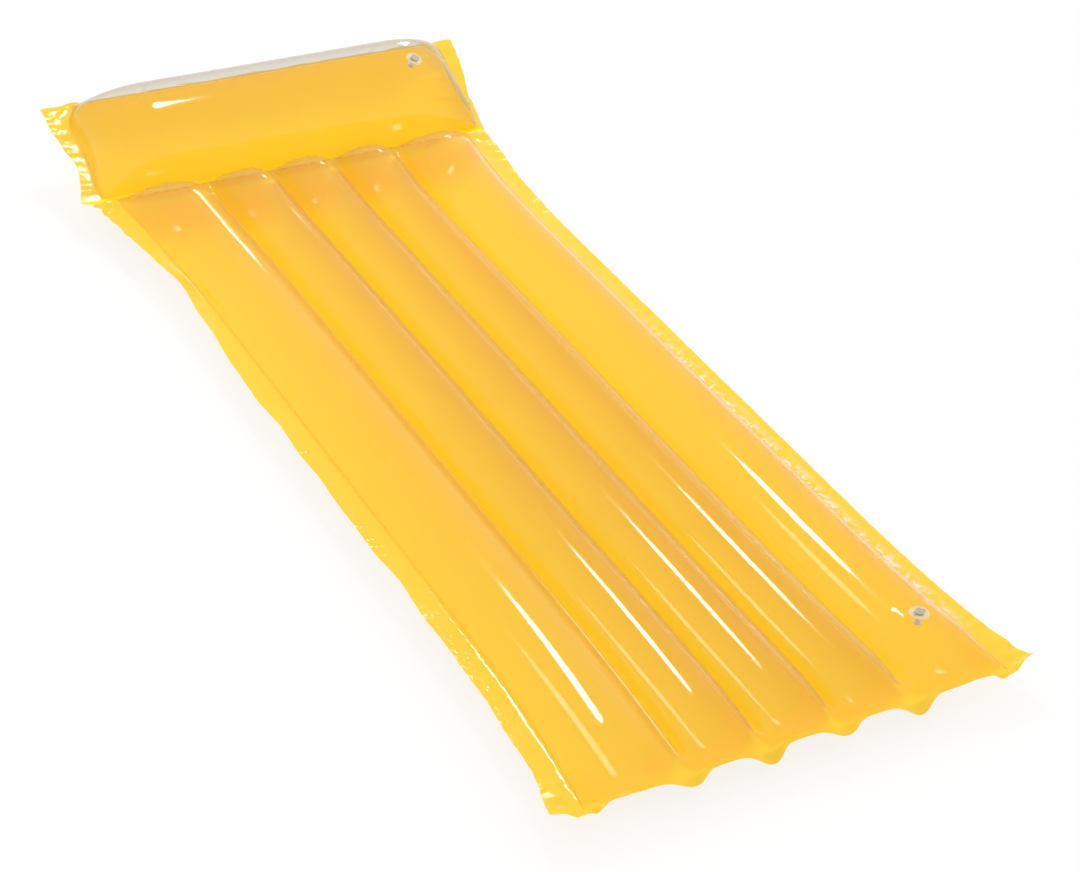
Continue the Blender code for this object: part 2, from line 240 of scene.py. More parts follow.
@dataclass(frozen=True)
class TuckedEdge:
    """The loose edge at +X, which is drawn in and down beside the fold.

    Attributes:
        fold_y: Where the fold is.
        side: Where the edge begins, along X.
        width: How far along the edge the draw reaches.
        inwards: How far the edge comes in, as a share of what lies beyond its beginning.
        downwards: How far it goes down, as such a share.
    """

    fold_y: float
    side: float = 0.330
    width: float = 0.060
    inwards: float = 0.65
    downwards: float = 0.40

    def draw(self, points: Array) -> Array:
        """Draw the edge in.

        Args:
            points: Points x 3 of the object.

        Returns:
            The moved points.
        """
        moved = points.copy()
        beyond = np.clip(points[:, 0] - self.side, 0, None)
        near = swell(points[:, 1] - self.fold_y, self.width)
        moved[:, 0] -= self.inwards * beyond * near
        moved[:, 2] -= self.downwards * beyond * near
        return moved


@dataclass
class FilmGrid:
    """A film as a grid of points.

    Attributes:
        points: Rows x columns x 3.
        held: Which points the welds hold while the film is blown up.
        flange: How far a point is out on the welded edge, from 0 to 1.
        valley: How near a point is to a weld beside a channel, from 0 to 1.
        painted_light: How much painted light the film shows at a point, from 0 to 1: painted shade
            on the coloured film, a painted silvery reflection on the clear one.
    """

    points: Array
    held: Array
    flange: Array
    valley: Array
    painted_light: Array

    def to_object(self, name: str, layer: Layer) -> bpy.types.Object:
        """Make the mesh, its faces outwards from the air.

        Args:
            name: The piece's name.
            layer: Which film it is.

        Returns:
            The new object, linked to the scene.
        """
        rows, columns = self.held.shape
        index = np.arange(rows * columns).reshape(rows, columns)
        corners = [index[:-1, :-1], index[:-1, 1:], index[1:, 1:], index[1:, :-1]]
        faces = np.stack(corners, axis=-1).reshape(-1, 4)
        if layer is Layer.COLOURED:
            faces = faces[:, ::-1]
        mesh = bpy.data.meshes.new(name)
        mesh.from_pydata(self.points.reshape(-1, 3).tolist(), [], faces.tolist())
        stores = {"flange": self.flange, "valley": self.valley, "painted_light": self.painted_light}
        for key, values in stores.items():
            store = mesh.attributes.new(key, "FLOAT", "POINT")
            store.data.foreach_set("value", values.astype(np.float32).ravel())
        mesh.shade_smooth()
        return placed(name, mesh)


def coordinates(mesh: bpy.types.Mesh) -> Array:
    """Read where a mesh's points are.

    Args:
        mesh: The mesh.

    Returns:
        Its points x 3.
    """
    points = np.empty(len(mesh.vertices) * 3, np.float32)
    mesh.vertices.foreach_get("co", points)
    return points.reshape(-1, 3).astype(float)


def move_to(mesh: bpy.types.Mesh, points: Array) -> None:
    """Put a mesh's points where an array of points x 3 says."""
    mesh.vertices.foreach_set("co", points.astype(np.float32).ravel())
    mesh.update()


def bake_modifiers(obj: bpy.types.Object) -> None:
    """Turn what an object's modifiers give into its own mesh, and remove them.

    Args:
        obj: The object.
    """
    graph = bpy.context.evaluated_depsgraph_get()
    mesh = bpy.data.meshes.new_from_object(obj.evaluated_get(graph))
    obj.modifiers.clear()
    old = obj.data
    obj.data = mesh
    bpy.data.meshes.remove(old)


def rounded(corners: Profile, radius: float, closed: bool, steps: int = 3) -> Profile:
    """Round the corners of a profile.

    Args:
        corners: Distance from the axis and height of each corner.
        radius: How far from a corner its curve begins.
        closed: Whether the last corner joins the first one.
        steps: How many pieces a curve has.

    Returns:
        The rounded profile.
    """
    done = []
    for i, corner in enumerate(corners):
        if not closed and i in (0, len(corners) - 1):
            done.append(corner)
            continue
        here = Vector(corner)
        before, after = (Vector(corners[j % len(corners)]) for j in (i - 1, i + 1))
        start = here.lerp(before, min(0.5, radius / (before - here).length))
        end = here.lerp(after, min(0.5, radius / (after - here).length))
        for t in np.linspace(0, 1, steps + 1).tolist():
            done.append(tuple(start.lerp(here, t).lerp(here.lerp(end, t), t)))
    return done


def lathe(solid: bmesh.types.BMesh, profile: Profile, closed: bool, steps: int = 64) -> None:
    """Turn a profile round Z and add it to a mesh.

    Args:
        solid: The mesh.
        profile: Distance from the axis and height of each point.
        closed: Whether the last point joins the first one.
        steps: Faces round the axis.
    """
    turns = [2 * math.pi * step / steps for step in range(steps)]
    rings = []
    for radius, height in profile:
        if radius < SAME_PLACE:
            rings.append([solid.verts.new((0.0, 0.0, height))] * steps)
        else:
            places = [(radius * math.cos(t), radius * math.sin(t), height) for t in turns]
            rings.append([solid.verts.new(place) for place in places])
    for i in range(len(rings) if closed else len(rings) - 1):
        low, high = rings[i], rings[(i + 1) % len(rings)]
        for j in range(steps):
            k = (j + 1) % steps
            corners = list(dict.fromkeys((low[j], low[k], high[k], high[j])))
            if len(corners) > 2:
                solid.faces.new(corners)


def strap(solid: bmesh.types.BMesh, stations: Sequence[Sequence[float]], edge: float) -> None:
    """Add a flat strap along X, with its long edges rounded off.

    Args:
        solid: The mesh.
        stations: Place along X, half width, lowest and highest point of each section.
        edge: How much its long edges are rounded.
    """
    rings = []
    for x, half, low, high in stations:
        right = [(half - edge, low), (half, low + edge), (half, high - edge), (half - edge, high)]
        outline = [(-half + edge, low), *right]
        outline += [(-half + edge, high), (-half, high - edge), (-half, low + edge)]
        rings.append([solid.verts.new((x, y, z)) for y, z in outline])
    for first, second in zip(rings, rings[1:]):
        for i in range(len(first)):
            j = (i + 1) % len(first)
            solid.faces.new((first[i], first[j], second[j], second[i]))
    solid.faces.new(rings[0])
    solid.faces.new(rings[-1])


def finished(
    name: str, solid: bmesh.types.BMesh, place: Matrix, finish: bpy.types.Material
) -> bpy.types.Object:
    """Turn a mesh that was drawn at its own axes into a piece.

    Args:
        name: The piece's name.
        solid: The mesh, which is freed.
        place: From its own axes to the object's.
        finish: Its material.

    Returns:
        The piece.
    """
    bmesh.ops.recalc_face_normals(solid, faces=solid.faces)
    solid.transform(place)
    mesh = bpy.data.meshes.new(name)
    solid.to_mesh(mesh)
    solid.free()
    mesh.shade_smooth()
    mesh.set_sharp_from_angle(angle=math.radians(35))
    mesh.materials.append(finish)
    return placed(name, mesh)


@dataclass(frozen=True)
class Inflation:
    """Blowing up a film as cloth, held by its welds.

    Attributes:
        pressure: Air pressure, in the solver's own unit.
        frames: How long it runs.
        cap: The most that a point may move.
        stretch_stiffness: Against being drawn out or pressed together along the film.
        shear_stiffness: Against being drawn askew.
        bending_stiffness: Against being bent.
        steps_per_frame: How finely the solver works.
    """

    pressure: float = 4.0
    frames: int = 20
    cap: float = 0.006
    stretch_stiffness: float = 40.0
    shear_stiffness: float = 20.0
    bending_stiffness: float = 2.0
    steps_per_frame: int = 5

    def run(self, obj: bpy.types.Object, held: Array) -> None:
        """Blow up a film.

        Args:
            obj: The film, with no modifiers yet.
            held: Which of its points stay, one truth value each.
        """
        group = obj.vertex_groups.new(name="held")
        group.add(np.flatnonzero(held.ravel()).tolist(), 1.0, "REPLACE")
        before = coordinates(obj.data)
        cloth = obj.modifiers.new("Air", "CLOTH")
        cloth.point_cache.frame_start = 1
        cloth.point_cache.frame_end = self.frames
        cloth.collision_settings.use_collision = False
        sheet = cloth.settings
        sheet.vertex_group_mass = group.name
        sheet.effector_weights.gravity = 0.0
        sheet.use_pressure = True
        sheet.uniform_pressure_force = self.pressure
        sheet.quality = self.steps_per_frame
        sheet.tension_stiffness = self.stretch_stiffness
        sheet.compression_stiffness = self.stretch_stiffness
        sheet.shear_stiffness = self.shear_stiffness
        sheet.bending_stiffness = self.bending_stiffness
        for step in range(1, self.frames + 1):
            bpy.context.scene.frame_set(step)
        bake_modifiers(obj)
        obj.vertex_groups.clear()
        moved = coordinates(obj.data) - before
        length = np.linalg.norm(moved, axis=1, keepdims=True)
        share = np.minimum(1.0, self.cap / np.maximum(length, SAME_PLACE))
        move_to(obj.data, before + moved * share)
        bpy.context.scene.frame_set(1)


@dataclass(frozen=True)
class FilmFinish:
    """Soft vinyl film, rolled to a gloss.

    To the eye it is a thin skin that takes on the colour behind it, whitens where it is seen
    edge-on, and draws each lamp out into a long clean streak over a channel. The welded edges
    are a little duller and finely creased.

    Attributes:
        name: The material's name.
        tint: Colour of what shows through where the film is seen square on.
        edge_tint: The same where it is seen edge-on, through more of it.
        body: Colour of the light that the film itself sends back.
        veil: Share of that light where the film is seen square on.
        edge_veil: The same where it is seen edge-on.
        glow: Share of that light that comes through from behind.
        sheen: How much it mirrors, as a share of what smooth vinyl does in air.
        painted_light: Colour of the painted light, where the film shows painted shade or a painted
            reflection.
        painted_light_veil: Share of its light.
        patchy: Whether the painted light comes in patches, from 0 to 1.
        gloss: How rough the surface is.
        gloss_range: How much the roughness varies, as shares of it.
        weld_grain: How much rougher the weld bars leave it.
        mirror: What smooth vinyl mirrors square on, and at a grazing angle.
        edge_power: How sharply the film turns from its square-on look to its edge-on one.
        grazing_power: How sharply the mirroring rises at a grazing angle.
        shading: How much the colour varies, as shares of its brightness.
        cloud_mm: Size of these variations.
        wave_mm: Size of the film's soft waves.
        wave_bump: Strength and depth in metres of the soft waves.
        crease_mm: Width of the fine creases in a welded edge.
        crease_bump: Strength and depth in metres of the creases.
        valley_creases: How creased the film is beside an inner weld, as a share of the edge.
        patch_mm: Size of the patches.
        patch_edge: The patch noise's values where a patch begins, and where it is full.
    """

    name: str
    tint: str
    edge_tint: str
    body: str
    veil: float
    edge_veil: float
    glow: float
    sheen: float
    painted_light: str = "ffffff"
    painted_light_veil: float = 0.0
    patchy: float = 0.0
    gloss: float = 0.075
    gloss_range: Pair = (0.7, 1.5)
    weld_grain: float = 0.07
    mirror: Pair = (0.042, 0.65)
    edge_power: float = 2.4
    grazing_power: float = 5.0
    shading: Pair = (0.97, 1.03)
    cloud_mm: float = 111.11
    wave_mm: float = 71.43
    wave_bump: Pair = (0.06, 0.003)
    crease_mm: float = 9.0
    crease_bump: Pair = (0.8, 0.0014)
    valley_creases: float = 0.25
    patch_mm: float = 12.0
    patch_edge: Pair = (0.45, 0.58)

    def relief(self, tree: bpy.types.NodeTree, place: bpy.types.NodeSocket) -> bpy.types.Node:
        """The film's waviness, and its creases where it is welded or gathered.

        Args:
            tree: The material's nodes.
            place: Object coordinates.

        Returns:
            A bump node.
        """
        flange = add_node(tree, "ShaderNodeAttribute", attribute_name="flange").outputs["Fac"]
        valley = add_node(tree, "ShaderNodeAttribute", attribute_name="valley").outputs["Fac"]
        size = 1000 / self.wave_mm
        waves = add_node(tree, "ShaderNodeTexNoise", in_Vector=place, in_Scale=size, in_Detail=1.0)
        folds = add_node(
            tree,
            "ShaderNodeTexNoise",
            in_Vector=place,
            in_Scale=1000 / self.crease_mm,
            in_Detail=2.0,
            in_Distortion=0.6,
        )
        share = self.valley_creases
        near = add_node(tree, "ShaderNodeMath", operation="MULTIPLY", in_0=valley, in_1=share)
        most = add_node(tree, "ShaderNodeMath", operation="MAXIMUM", in_0=flange, in_1=near)
        creased = add_node(tree, "ShaderNodeMath", operation="MULTIPLY", in_0=folds, in_1=most)
        strength, depth = self.wave_bump
        soft = add_node(
            tree, "ShaderNodeBump", in_Strength=strength, in_Distance=depth, in_Height=waves
        )
        strength, depth = self.crease_bump
        return add_node(
            tree,
            "ShaderNodeBump",
            in_Strength=strength,
            in_Distance=depth,
            in_Height=creased,
            in_Normal=soft,
        )

    def painted_light_share(
        self, tree: bpy.types.NodeTree, place: bpy.types.NodeSocket
    ) -> bpy.types.Node:
        """How much of the painted light shows.

        Args:
            tree: The material's nodes.
            place: Object coordinates.

        Returns:
            A node that gives it, from 0 to 1.
        """
        painted_light = add_node(tree, "ShaderNodeAttribute", attribute_name="painted_light").outputs["Fac"]
        patches = add_node(
            tree,
            "ShaderNodeTexNoise",
            in_Vector=place,
            in_Scale=1000 / self.patch_mm,
            in_Detail=2.0,
            in_Distortion=0.8,
        )
        begins, full = self.patch_edge
        island = add_node(
            tree,
            "ShaderNodeMapRange",
            in_Value=patches,
            in_1=begins,
            in_2=full,
            in_3=1.0 - self.patchy,
            in_4=1.0,
        )
        return add_node(tree, "ShaderNodeMath", operation="MULTIPLY", in_0=painted_light, in_1=island)

    def sheet(
        self,
        tree: bpy.types.NodeTree,
        place: bpy.types.NodeSocket,
        cloud: bpy.types.Node,
        normal: bpy.types.Node,
    ) -> bpy.types.Node:
        """The film without its gloss: what shows through it, and the light that it sends back.

        Args:
            tree: The material's nodes.
            place: Object coordinates.
            cloud: The noise that its colour varies with.
            normal: Its bump.

        Returns:
            A shader.
        """
        # Share of painted shade or painted silvery reflection that the film shows here
        second = self.painted_light_share(tree, place)
        facing = add_node(tree, "ShaderNodeLayerWeight", in_Blend=0.5).outputs["Facing"]
        steep = add_node(
            tree, "ShaderNodeMath", operation="POWER", in_0=facing, in_1=self.edge_power
        )
        through = add_node(
            tree,
            "ShaderNodeMix",
            data_type="RGBA",
            in_0=steep,
            in_6=linear(self.tint),
            in_7=linear(self.edge_tint),
        ).outputs[2]
        clear = add_node(tree, "ShaderNodeBsdfTransparent", in_Color=through)
        low, high = self.shading
        value = add_node(tree, "ShaderNodeMapRange", in_Value=cloud, in_3=low, in_4=high)
        colour = linear(self.body)
        first = add_node(tree, "ShaderNodeHueSaturation", in_Color=colour, in_Value=value)
        shade = add_node(
            tree,
            "ShaderNodeMix",
            data_type="RGBA",
            in_0=second,
            in_6=first,
            in_7=linear(self.painted_light),
        ).outputs[2]
        front = add_node(tree, "ShaderNodeBsdfDiffuse", in_Color=shade, in_Normal=normal)
        behind = add_node(tree, "ShaderNodeBsdfTranslucent", in_Color=shade, in_Normal=normal)
        body = add_node(tree, "ShaderNodeMixShader", in_0=self.glow, in_1=front, in_2=behind)
        veil = add_node(
            tree, "ShaderNodeMapRange", in_Value=steep, in_3=self.veil, in_4=self.edge_veil
        )
        cover = add_node(
            tree, "ShaderNodeMapRange", in_Value=second, in_3=veil, in_4=self.painted_light_veil
        )
        return add_node(tree, "ShaderNodeMixShader", in_0=cover, in_1=clear, in_2=body)

    def polish(
        self, tree: bpy.types.NodeTree, cloud: bpy.types.Node, normal: bpy.types.Node
    ) -> tuple[bpy.types.Node, bpy.types.Node]:
        """The film's gloss, which is duller on the welded edges.

        Args:
            tree: The material's nodes.
            cloud: The noise that its roughness varies with.
            normal: Its bump.

        Returns:
            Its shader, and a node that gives its share.
        """
        flange = add_node(tree, "ShaderNodeAttribute", attribute_name="flange").outputs["Fac"]
        low, high = (self.gloss * share for share in self.gloss_range)
        even = add_node(tree, "ShaderNodeMapRange", in_Value=cloud, in_3=low, in_4=high)
        rough = add_node(
            tree,
            "ShaderNodeMath",
            operation="MULTIPLY_ADD",
            in_0=flange,
            in_1=self.weld_grain,
            in_2=even,
        )
        mirror = add_node(
            tree, "ShaderNodeBsdfAnisotropic", in_Roughness=rough, in_Normal=normal
        )
        grazing = add_node(
            tree, "ShaderNodeLayerWeight", in_Blend=0.5, in_Normal=normal
        ).outputs["Facing"]
        rise = add_node(
            tree, "ShaderNodeMath", operation="POWER", in_0=grazing, in_1=self.grazing_power
        )
        low, high = (share * self.sheen for share in self.mirror)
        shine = add_node(tree, "ShaderNodeMapRange", in_Value=rise, in_3=low, in_4=high)
        return mirror, shine

    def build(self) -> bpy.types.Material:
        """Make the material.

        Returns:
            The material.
        """
        made = bpy.data.materials.new(self.name)
        tree = empty_tree(made)
        place = add_node(tree, "ShaderNodeTexCoord").outputs["Object"]
        size = 1000 / self.cloud_mm
        cloud = add_node(tree, "ShaderNodeTexNoise", in_Vector=place, in_Scale=size, in_Detail=3.0)
        normal = self.relief(tree, place)
        sheet = self.sheet(tree, place, cloud, normal)
        mirror, shine = self.polish(tree, cloud, normal)
        skin = add_node(tree, "ShaderNodeMixShader", in_0=shine, in_1=sheet, in_2=mirror)
        add_node(tree, "ShaderNodeOutputMaterial", in_Surface=skin)
        return made


@dataclass(frozen=True)
class VinylFinish:
    """Injection-moulded soft vinyl of the valve's pieces.

    To the eye it is milky, brighter towards its edges, with a soft highlight instead of a
    sharp one. The mould's grain is drawn coarser than real spark grain, so that it shows.

    Attributes:
        name: The material's name.
        colour: Its colour.
        roughness: How rough the moulded surface is.
        clearness: Share of the light that goes straight through.
        roughness_range: How much the roughness varies, as shares of it.
        shading: How much the colour varies, as shares of its brightness.
        cloud_mm: Size of these variations.
        grain_mm: Size of the mould's faint spark grain.
        grain_bump: Strength and depth in metres of the grain.
        bend: Soft vinyl's index of refraction.
        cloudy: Share of the light that wanders inside.
        wander: How far it gets.
    """

    name: str
    colour: str
    roughness: float
    clearness: float
    roughness_range: Pair = (0.8, 1.3)
    shading: Pair = (0.92, 1.05)
    cloud_mm: float = 5.5556
    grain_mm: float = 0.6
    grain_bump: Pair = (0.25, 0.0001)
    bend: float = 1.53
    cloudy: float = 0.2
    wander: float = 0.002

    def build(self) -> bpy.types.Material:
        """Make the material.

        Returns:
            The material.
        """
        made = bpy.data.materials.new(self.name)
        tree = empty_tree(made)
        colour = linear(self.colour)
        place = add_node(tree, "ShaderNodeTexCoord").outputs["Object"]
        size = 1000 / self.grain_mm
        grain = add_node(tree, "ShaderNodeTexNoise", in_Vector=place, in_Scale=size, in_Detail=2.0)
        cloud = add_node(tree, "ShaderNodeTexNoise", in_Vector=place, in_Scale=1000 / self.cloud_mm)
        low, high = self.shading
        value = add_node(tree, "ShaderNodeMapRange", in_Value=cloud, in_3=low, in_4=high)
        shade = add_node(tree, "ShaderNodeHueSaturation", in_Color=colour, in_Value=value)
        low, high = (self.roughness * share for share in self.roughness_range)
        rough = add_node(tree, "ShaderNodeMapRange", in_Value=grain, in_3=low, in_4=high)
        strength, depth = self.grain_bump
        normal = add_node(
            tree, "ShaderNodeBump", in_Strength=strength, in_Distance=depth, in_Height=grain
        )
        shader = add_node(
            tree,
            "ShaderNodeBsdfPrincipled",
            in_Base_Color=shade,
            in_Roughness=rough,
            in_IOR=self.bend,
            in_Normal=normal,
            in_Subsurface_Weight=self.cloudy,
            in_Subsurface_Scale=self.wander,
        )
        clear = add_node(tree, "ShaderNodeBsdfTransparent", in_Color=colour)
        facing = add_node(tree, "ShaderNodeLayerWeight", in_Blend=0.5).outputs["Facing"]
        share = add_node(tree, "ShaderNodeMapRange", in_Value=facing, in_3=self.clearness, in_4=0.0)
        skin = add_node(tree, "ShaderNodeMixShader", in_0=share, in_1=shader, in_2=clear)
        add_node(tree, "ShaderNodeOutputMaterial", in_Surface=skin)
        return made


@dataclass(frozen=True)
class ValveSeat:
    """The flat spot that a valve sits on.

    Attributes:
        place: From the seat's own axes to the object's; its Z points out of the air space.
        flat: Radius of the film that the valve keeps flat.
        ease: Radius past which the film is free again.
        hole: Radius of the hole in the clear film.
        rim: How far from the axis the hole's edge may lie before it is made round.
    """

    place: Matrix
    flat: float = 0.0140
    ease: float = 0.0340
    hole: float = 0.0083
    rim: float = 0.01494

    def settle(self, points: Array) -> Array:
        """Lay the film flat round the valve.

        Args:
            points: The film's points x 3.

        Returns:
            The same points, those near the valve in its plane.
        """
        local = carried(points, self.place.inverted())
        radius = np.hypot(local[:, 0], local[:, 1])
        near = 1 - smooth_step(radius, self.flat, self.ease)
        near[np.abs(local[:, 2]) > self.ease] = 0.0
        local[:, 2] += (-FILM / 2 - local[:, 2]) * near
        return carried(local, self.place)

    def pierce(self, obj: bpy.types.Object) -> None:
        """Cut the valve's round hole in a film.

        Args:
            obj: The film.
        """
        sheet = bmesh.new()
        sheet.from_mesh(obj.data)
        inwards = self.place.inverted()
        gone = []
        for face in sheet.faces:
            spot = inwards @ face.calc_center_median()
            if spot.xy.length < self.hole and abs(spot.z) < self.hole:
                gone.append(face)
        bmesh.ops.delete(sheet, geom=gone, context="FACES")
        for vert in sheet.verts:
            spot = inwards @ vert.co
            radius = spot.xy.length
            if vert.is_boundary and radius < self.rim and abs(spot.z) < self.hole:
                scale = self.hole / radius
                vert.co = self.place @ Vector((spot.x * scale, spot.y * scale, spot.z))
        sheet.to_mesh(obj.data)
        sheet.free()


@dataclass(frozen=True)
class Valve:
    """A push-in valve: its base, stem, tethered plug and check flap.

    Attributes:
        chamber: The air space's name, which its nodes begin with.
        place: From the seat's own axes to the object's.
        finishes: The material of each of its pieces, by the last word of the node's name.
        edge: How much the base's and the stem's moulded edges are rounded.
        thin_edge: The same on the plug, and on the flap.
        strap_edge: The same on the long edges of the lug, the tether and the finger tab, and
            on those of the flap's tail.
        ridge_radii: Where the flange's weld ridges are.
        ridge: Half a ridge's width, and its height.
        lug_inset: How much thinner than the rim the tether's lug is, on each side.
        root: How far the lug and the flap's tail reach into what they are moulded to.
        inset: How far the tether and the tail lie inside the faces beside them.
        gate: Radius of the gate mark's top, its radius below, and its height.
        crown: Where the cap's raised rim begins and is full, and where it ends.
        cap_slope: How much lower the cap is at its outer edge.
        snap: How far down the pin its snap begins, is fullest and has ended.
        snap_bulge: How far it stands out there, and how far the pin goes in after it.
        thin_line: Half the length and the depth of the groove that the tether bends at.
        thin_width: The tether's width there, as a share of it.
        tab_width: The finger tab's width at its end, as a share of the tether's.
        tab_round: How long the tab's rounded end is, and how much thinner.
        ribs: Where the ribs of the finger tab are, from its end.
        rib: Width of a rib's slope, and its height.
        overlap: How far the tether and the finger tab reach into the cap.
        dish: Radius of the flap's dished middle above and below its slope, and its depth.
    """

    chamber: str
    place: Matrix
    finishes: dict[str, bpy.types.Material]
    edge: float = 0.00025
    thin_edge: Pair = (0.00015, 0.0001)
    strap_edge: Pair = (0.0001, 0.00005)
    base_radius: float = 0.0130
    base_thickness: float = 0.0008
    collar_depth: float = 0.0040
    collar_wall: float = 0.0016
    ridge_radii: tuple[float, ...] = (0.0094, 0.0106, 0.0118)
    ridge: Pair = (0.0003, 0.0002)
    stem_radius: float = 0.00475
    stem_bore: float = 0.00265
    rim_radius: float = 0.0065
    rim_thickness: float = 0.0010
    travel: float = 0.0095
    lip_radius: float = 0.0060
    lip_thickness: float = 0.0008
    lug_inset: float = 0.0002
    root: float = 0.0006
    inset: float = 0.0001
    cap_radius: float = 0.00625
    cap_thickness: float = 0.0012
    cap_crown: float = 0.0004
    cap_slope: float = 0.0002
    crown: tuple[float, float, float] = (0.0044, 0.0050, 0.0058)
    gate: tuple[float, float, float] = (0.0008, 0.0010, 0.0003)
    pin_length: float = 0.0040
    pin_top: float = 0.0023
    pin_tip: float = 0.0016
    snap: tuple[float, float, float] = (0.0012, 0.0017, 0.0024)
    snap_bulge: Pair = (0.0002, 0.0001)
    tether_radius: float = 0.0080
    tether_width: float = 0.0040
    tether_thickness: float = 0.0007
    thin_line: Pair = (0.0004, 0.0003)
    thin_width: float = 0.85
    overlap: float = 0.0005
    finger_tab: float = 0.0022
    tab_width: float = 0.7
    tab_round: Pair = (0.0003, 0.0002)
    ribs: Pair = (0.0008, 0.0015)
    rib: Pair = (0.0001, 0.0002)
    flap_radius: float = 0.0042
    flap_thickness: float = 0.0006
    dish: tuple[float, float, float] = (0.0026, 0.0022, 0.0002)
    flap_tail: float = 0.0050
    flap_tail_width: float = 0.0036

    @property
    def base_top(self) -> float:
        """Height of the flange, just under the film."""
        return -FILM - FIT_GAP

    @property
    def collar_bottom(self) -> float:
        """Height of the collar's inner end."""
        return self.base_top - self.base_thickness - self.collar_depth

    @property
    def stem_bottom(self) -> float:
        """Height of the stem's inner end."""
        return self.collar_bottom - self.travel - FIT_GAP - self.lip_thickness

    def base(self, solid: bmesh.types.BMesh) -> None:
        """Flange with three weld ridges, and the collar that the stem slides in.

        Args:
            solid: The mesh that gets it.
        """
        bore = self.stem_radius + FIT_GAP
        wall = bore + self.collar_wall
        top, low = self.base_top, self.base_top - self.base_thickness
        half, height = self.ridge
        corners = [(bore, top)]
        for radius in self.ridge_radii:
            corners += [(radius - half, top), (radius, top + height), (radius + half, top)]
        corners += [(self.base_radius, top), (self.base_radius, low)]
        corners += [(wall, low), (wall, self.collar_bottom), (bore, self.collar_bottom)]
        lathe(solid, rounded(corners, self.edge, closed=True), closed=True)

    def stem(self, solid: bmesh.types.BMesh) -> None:
        """Tube with its rim, the lip that stops it below, and the tether's lug.

        Args:
            solid: The mesh that gets it.
        """
        low = self.base_top + FIT_GAP
        top = low + self.rim_thickness
        bottom = self.stem_bottom
        lip = bottom + self.lip_thickness
        corners = [(self.stem_bore, top), (self.rim_radius, top), (self.rim_radius, low)]
        corners += [(self.stem_radius, low), (self.stem_radius, lip), (self.lip_radius, lip)]
        corners += [(self.lip_radius, bottom), (self.stem_bore, bottom)]
        lathe(solid, rounded(corners, self.edge, closed=True), closed=True)
        half = self.tether_width / 2
        low, top = low + self.lug_inset, top - self.lug_inset
        ends = (self.rim_radius - self.root, self.tether_radius - FIT_GAP / 2)
        strap(solid, [(x, half, low, top) for x in ends], self.strap_edge[0])

    def plug(self, solid: bmesh.types.BMesh) -> None:
        """Cap with a raised rim and a gate mark, its snap pin, the finger tab and the tether.

        Args:
            solid: The mesh that gets it.
        """
        low = self.rim_thickness - FILM + FIT_GAP
        top = low + self.cap_thickness
        raised = top + self.cap_crown
        tip = low - self.pin_length
        gate_top, gate_foot, gate_height = self.gate
        slope, full, outer = self.crown
        bulge_top, bulge, bulge_end = (low - depth for depth in self.snap)
        corners = [(0.0, top + gate_height), (gate_top, top + gate_height), (gate_foot, top)]
        corners += [(slope, top), (full, raised), (outer, raised)]
        corners += [(self.cap_radius, top - self.cap_slope), (self.cap_radius, low)]
        corners += [(self.pin_top, low), (self.pin_top, bulge_top)]
        corners += [(self.pin_top + self.snap_bulge[0], bulge)]
        corners += [(self.pin_top - self.snap_bulge[1], bulge_end), (self.pin_tip, tip), (0.0, tip)]
        lathe(solid, rounded(corners, self.thin_edge[0], closed=False), closed=False)
        self.plug_tether(solid, low + self.inset)

    def plug_tether(self, solid: bmesh.types.BMesh, low: float) -> None:
        """Tether with the thin line that it bends at, and the ribbed finger tab opposite it.

        Args:
            solid: The mesh that gets them.
            low: Height of their underside.
        """
        half = self.tether_width / 2
        high = low + self.tether_thickness
        fold = (self.cap_radius + self.tether_radius) / 2
        reach, depth = self.thin_line
        tether = [
            (self.cap_radius - self.overlap, half, low, high),
            (fold - reach, half, low, high),
            (fold, self.thin_width * half, low, high - depth),
            (fold + reach, half, low, high),
            (self.tether_radius, half, low, high),
        ]
        strap(solid, tether, self.strap_edge[0])
        end = -self.cap_radius - self.finger_tab
        length, drop = self.tab_round
        tab = [(end, self.tab_width * half, low, high - drop), (end + length, half, low, high)]
        slope, height = self.rib
        for place in self.ribs:
            at = end + place
            tab += [(at - slope, half, low, high), (at, half, low, high + height)]
            tab += [(at + slope, half, low, high + height), (at + 2 * slope, half, low, high)]
        tab += [(self.overlap - self.cap_radius, half, low, high)]
        strap(solid, tab, self.strap_edge[0])

    def flap(self, solid: bmesh.types.BMesh) -> None:
        """Disc that shuts the stem from inside, with a dished middle and the tail it folds on.

        Args:
            solid: The mesh that gets it.
        """
        top = self.stem_bottom - FIT_GAP
        low = top - self.flap_thickness
        outer, inner, depth = self.dish
        corners = [(0.0, top), (self.flap_radius, top), (self.flap_radius, low)]
        corners += [(outer, low), (inner, low + depth), (0.0, low + depth)]
        lathe(solid, rounded(corners, self.thin_edge[1], closed=False), closed=False)
        half, top = self.flap_tail_width / 2, top - self.inset
        tail = [
            (-self.flap_tail, half, low + depth, top),
            (self.overlap - self.flap_tail, half, low + depth, top),
            (self.root - self.flap_radius, half, low + self.inset, top),
        ]
        strap(solid, tail, self.strap_edge[1])

    def build(self) -> None:
        """Make the four pieces, each on its own body."""
        shapes = {"base": self.base, "stem": self.stem, "plug": self.plug, "flap": self.flap}
        for word, draw in shapes.items():
            solid = bmesh.new()
            draw(solid)
            node = f"{self.chamber}_valve_{word}"
            piece = finished(f"{node}_moulding", solid, self.place, self.finishes[word])
            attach(piece, self.chamber if word == "base" else node)
            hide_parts(node)
            log.info("%s: %d faces", piece.name, len(piece.data.polygons))


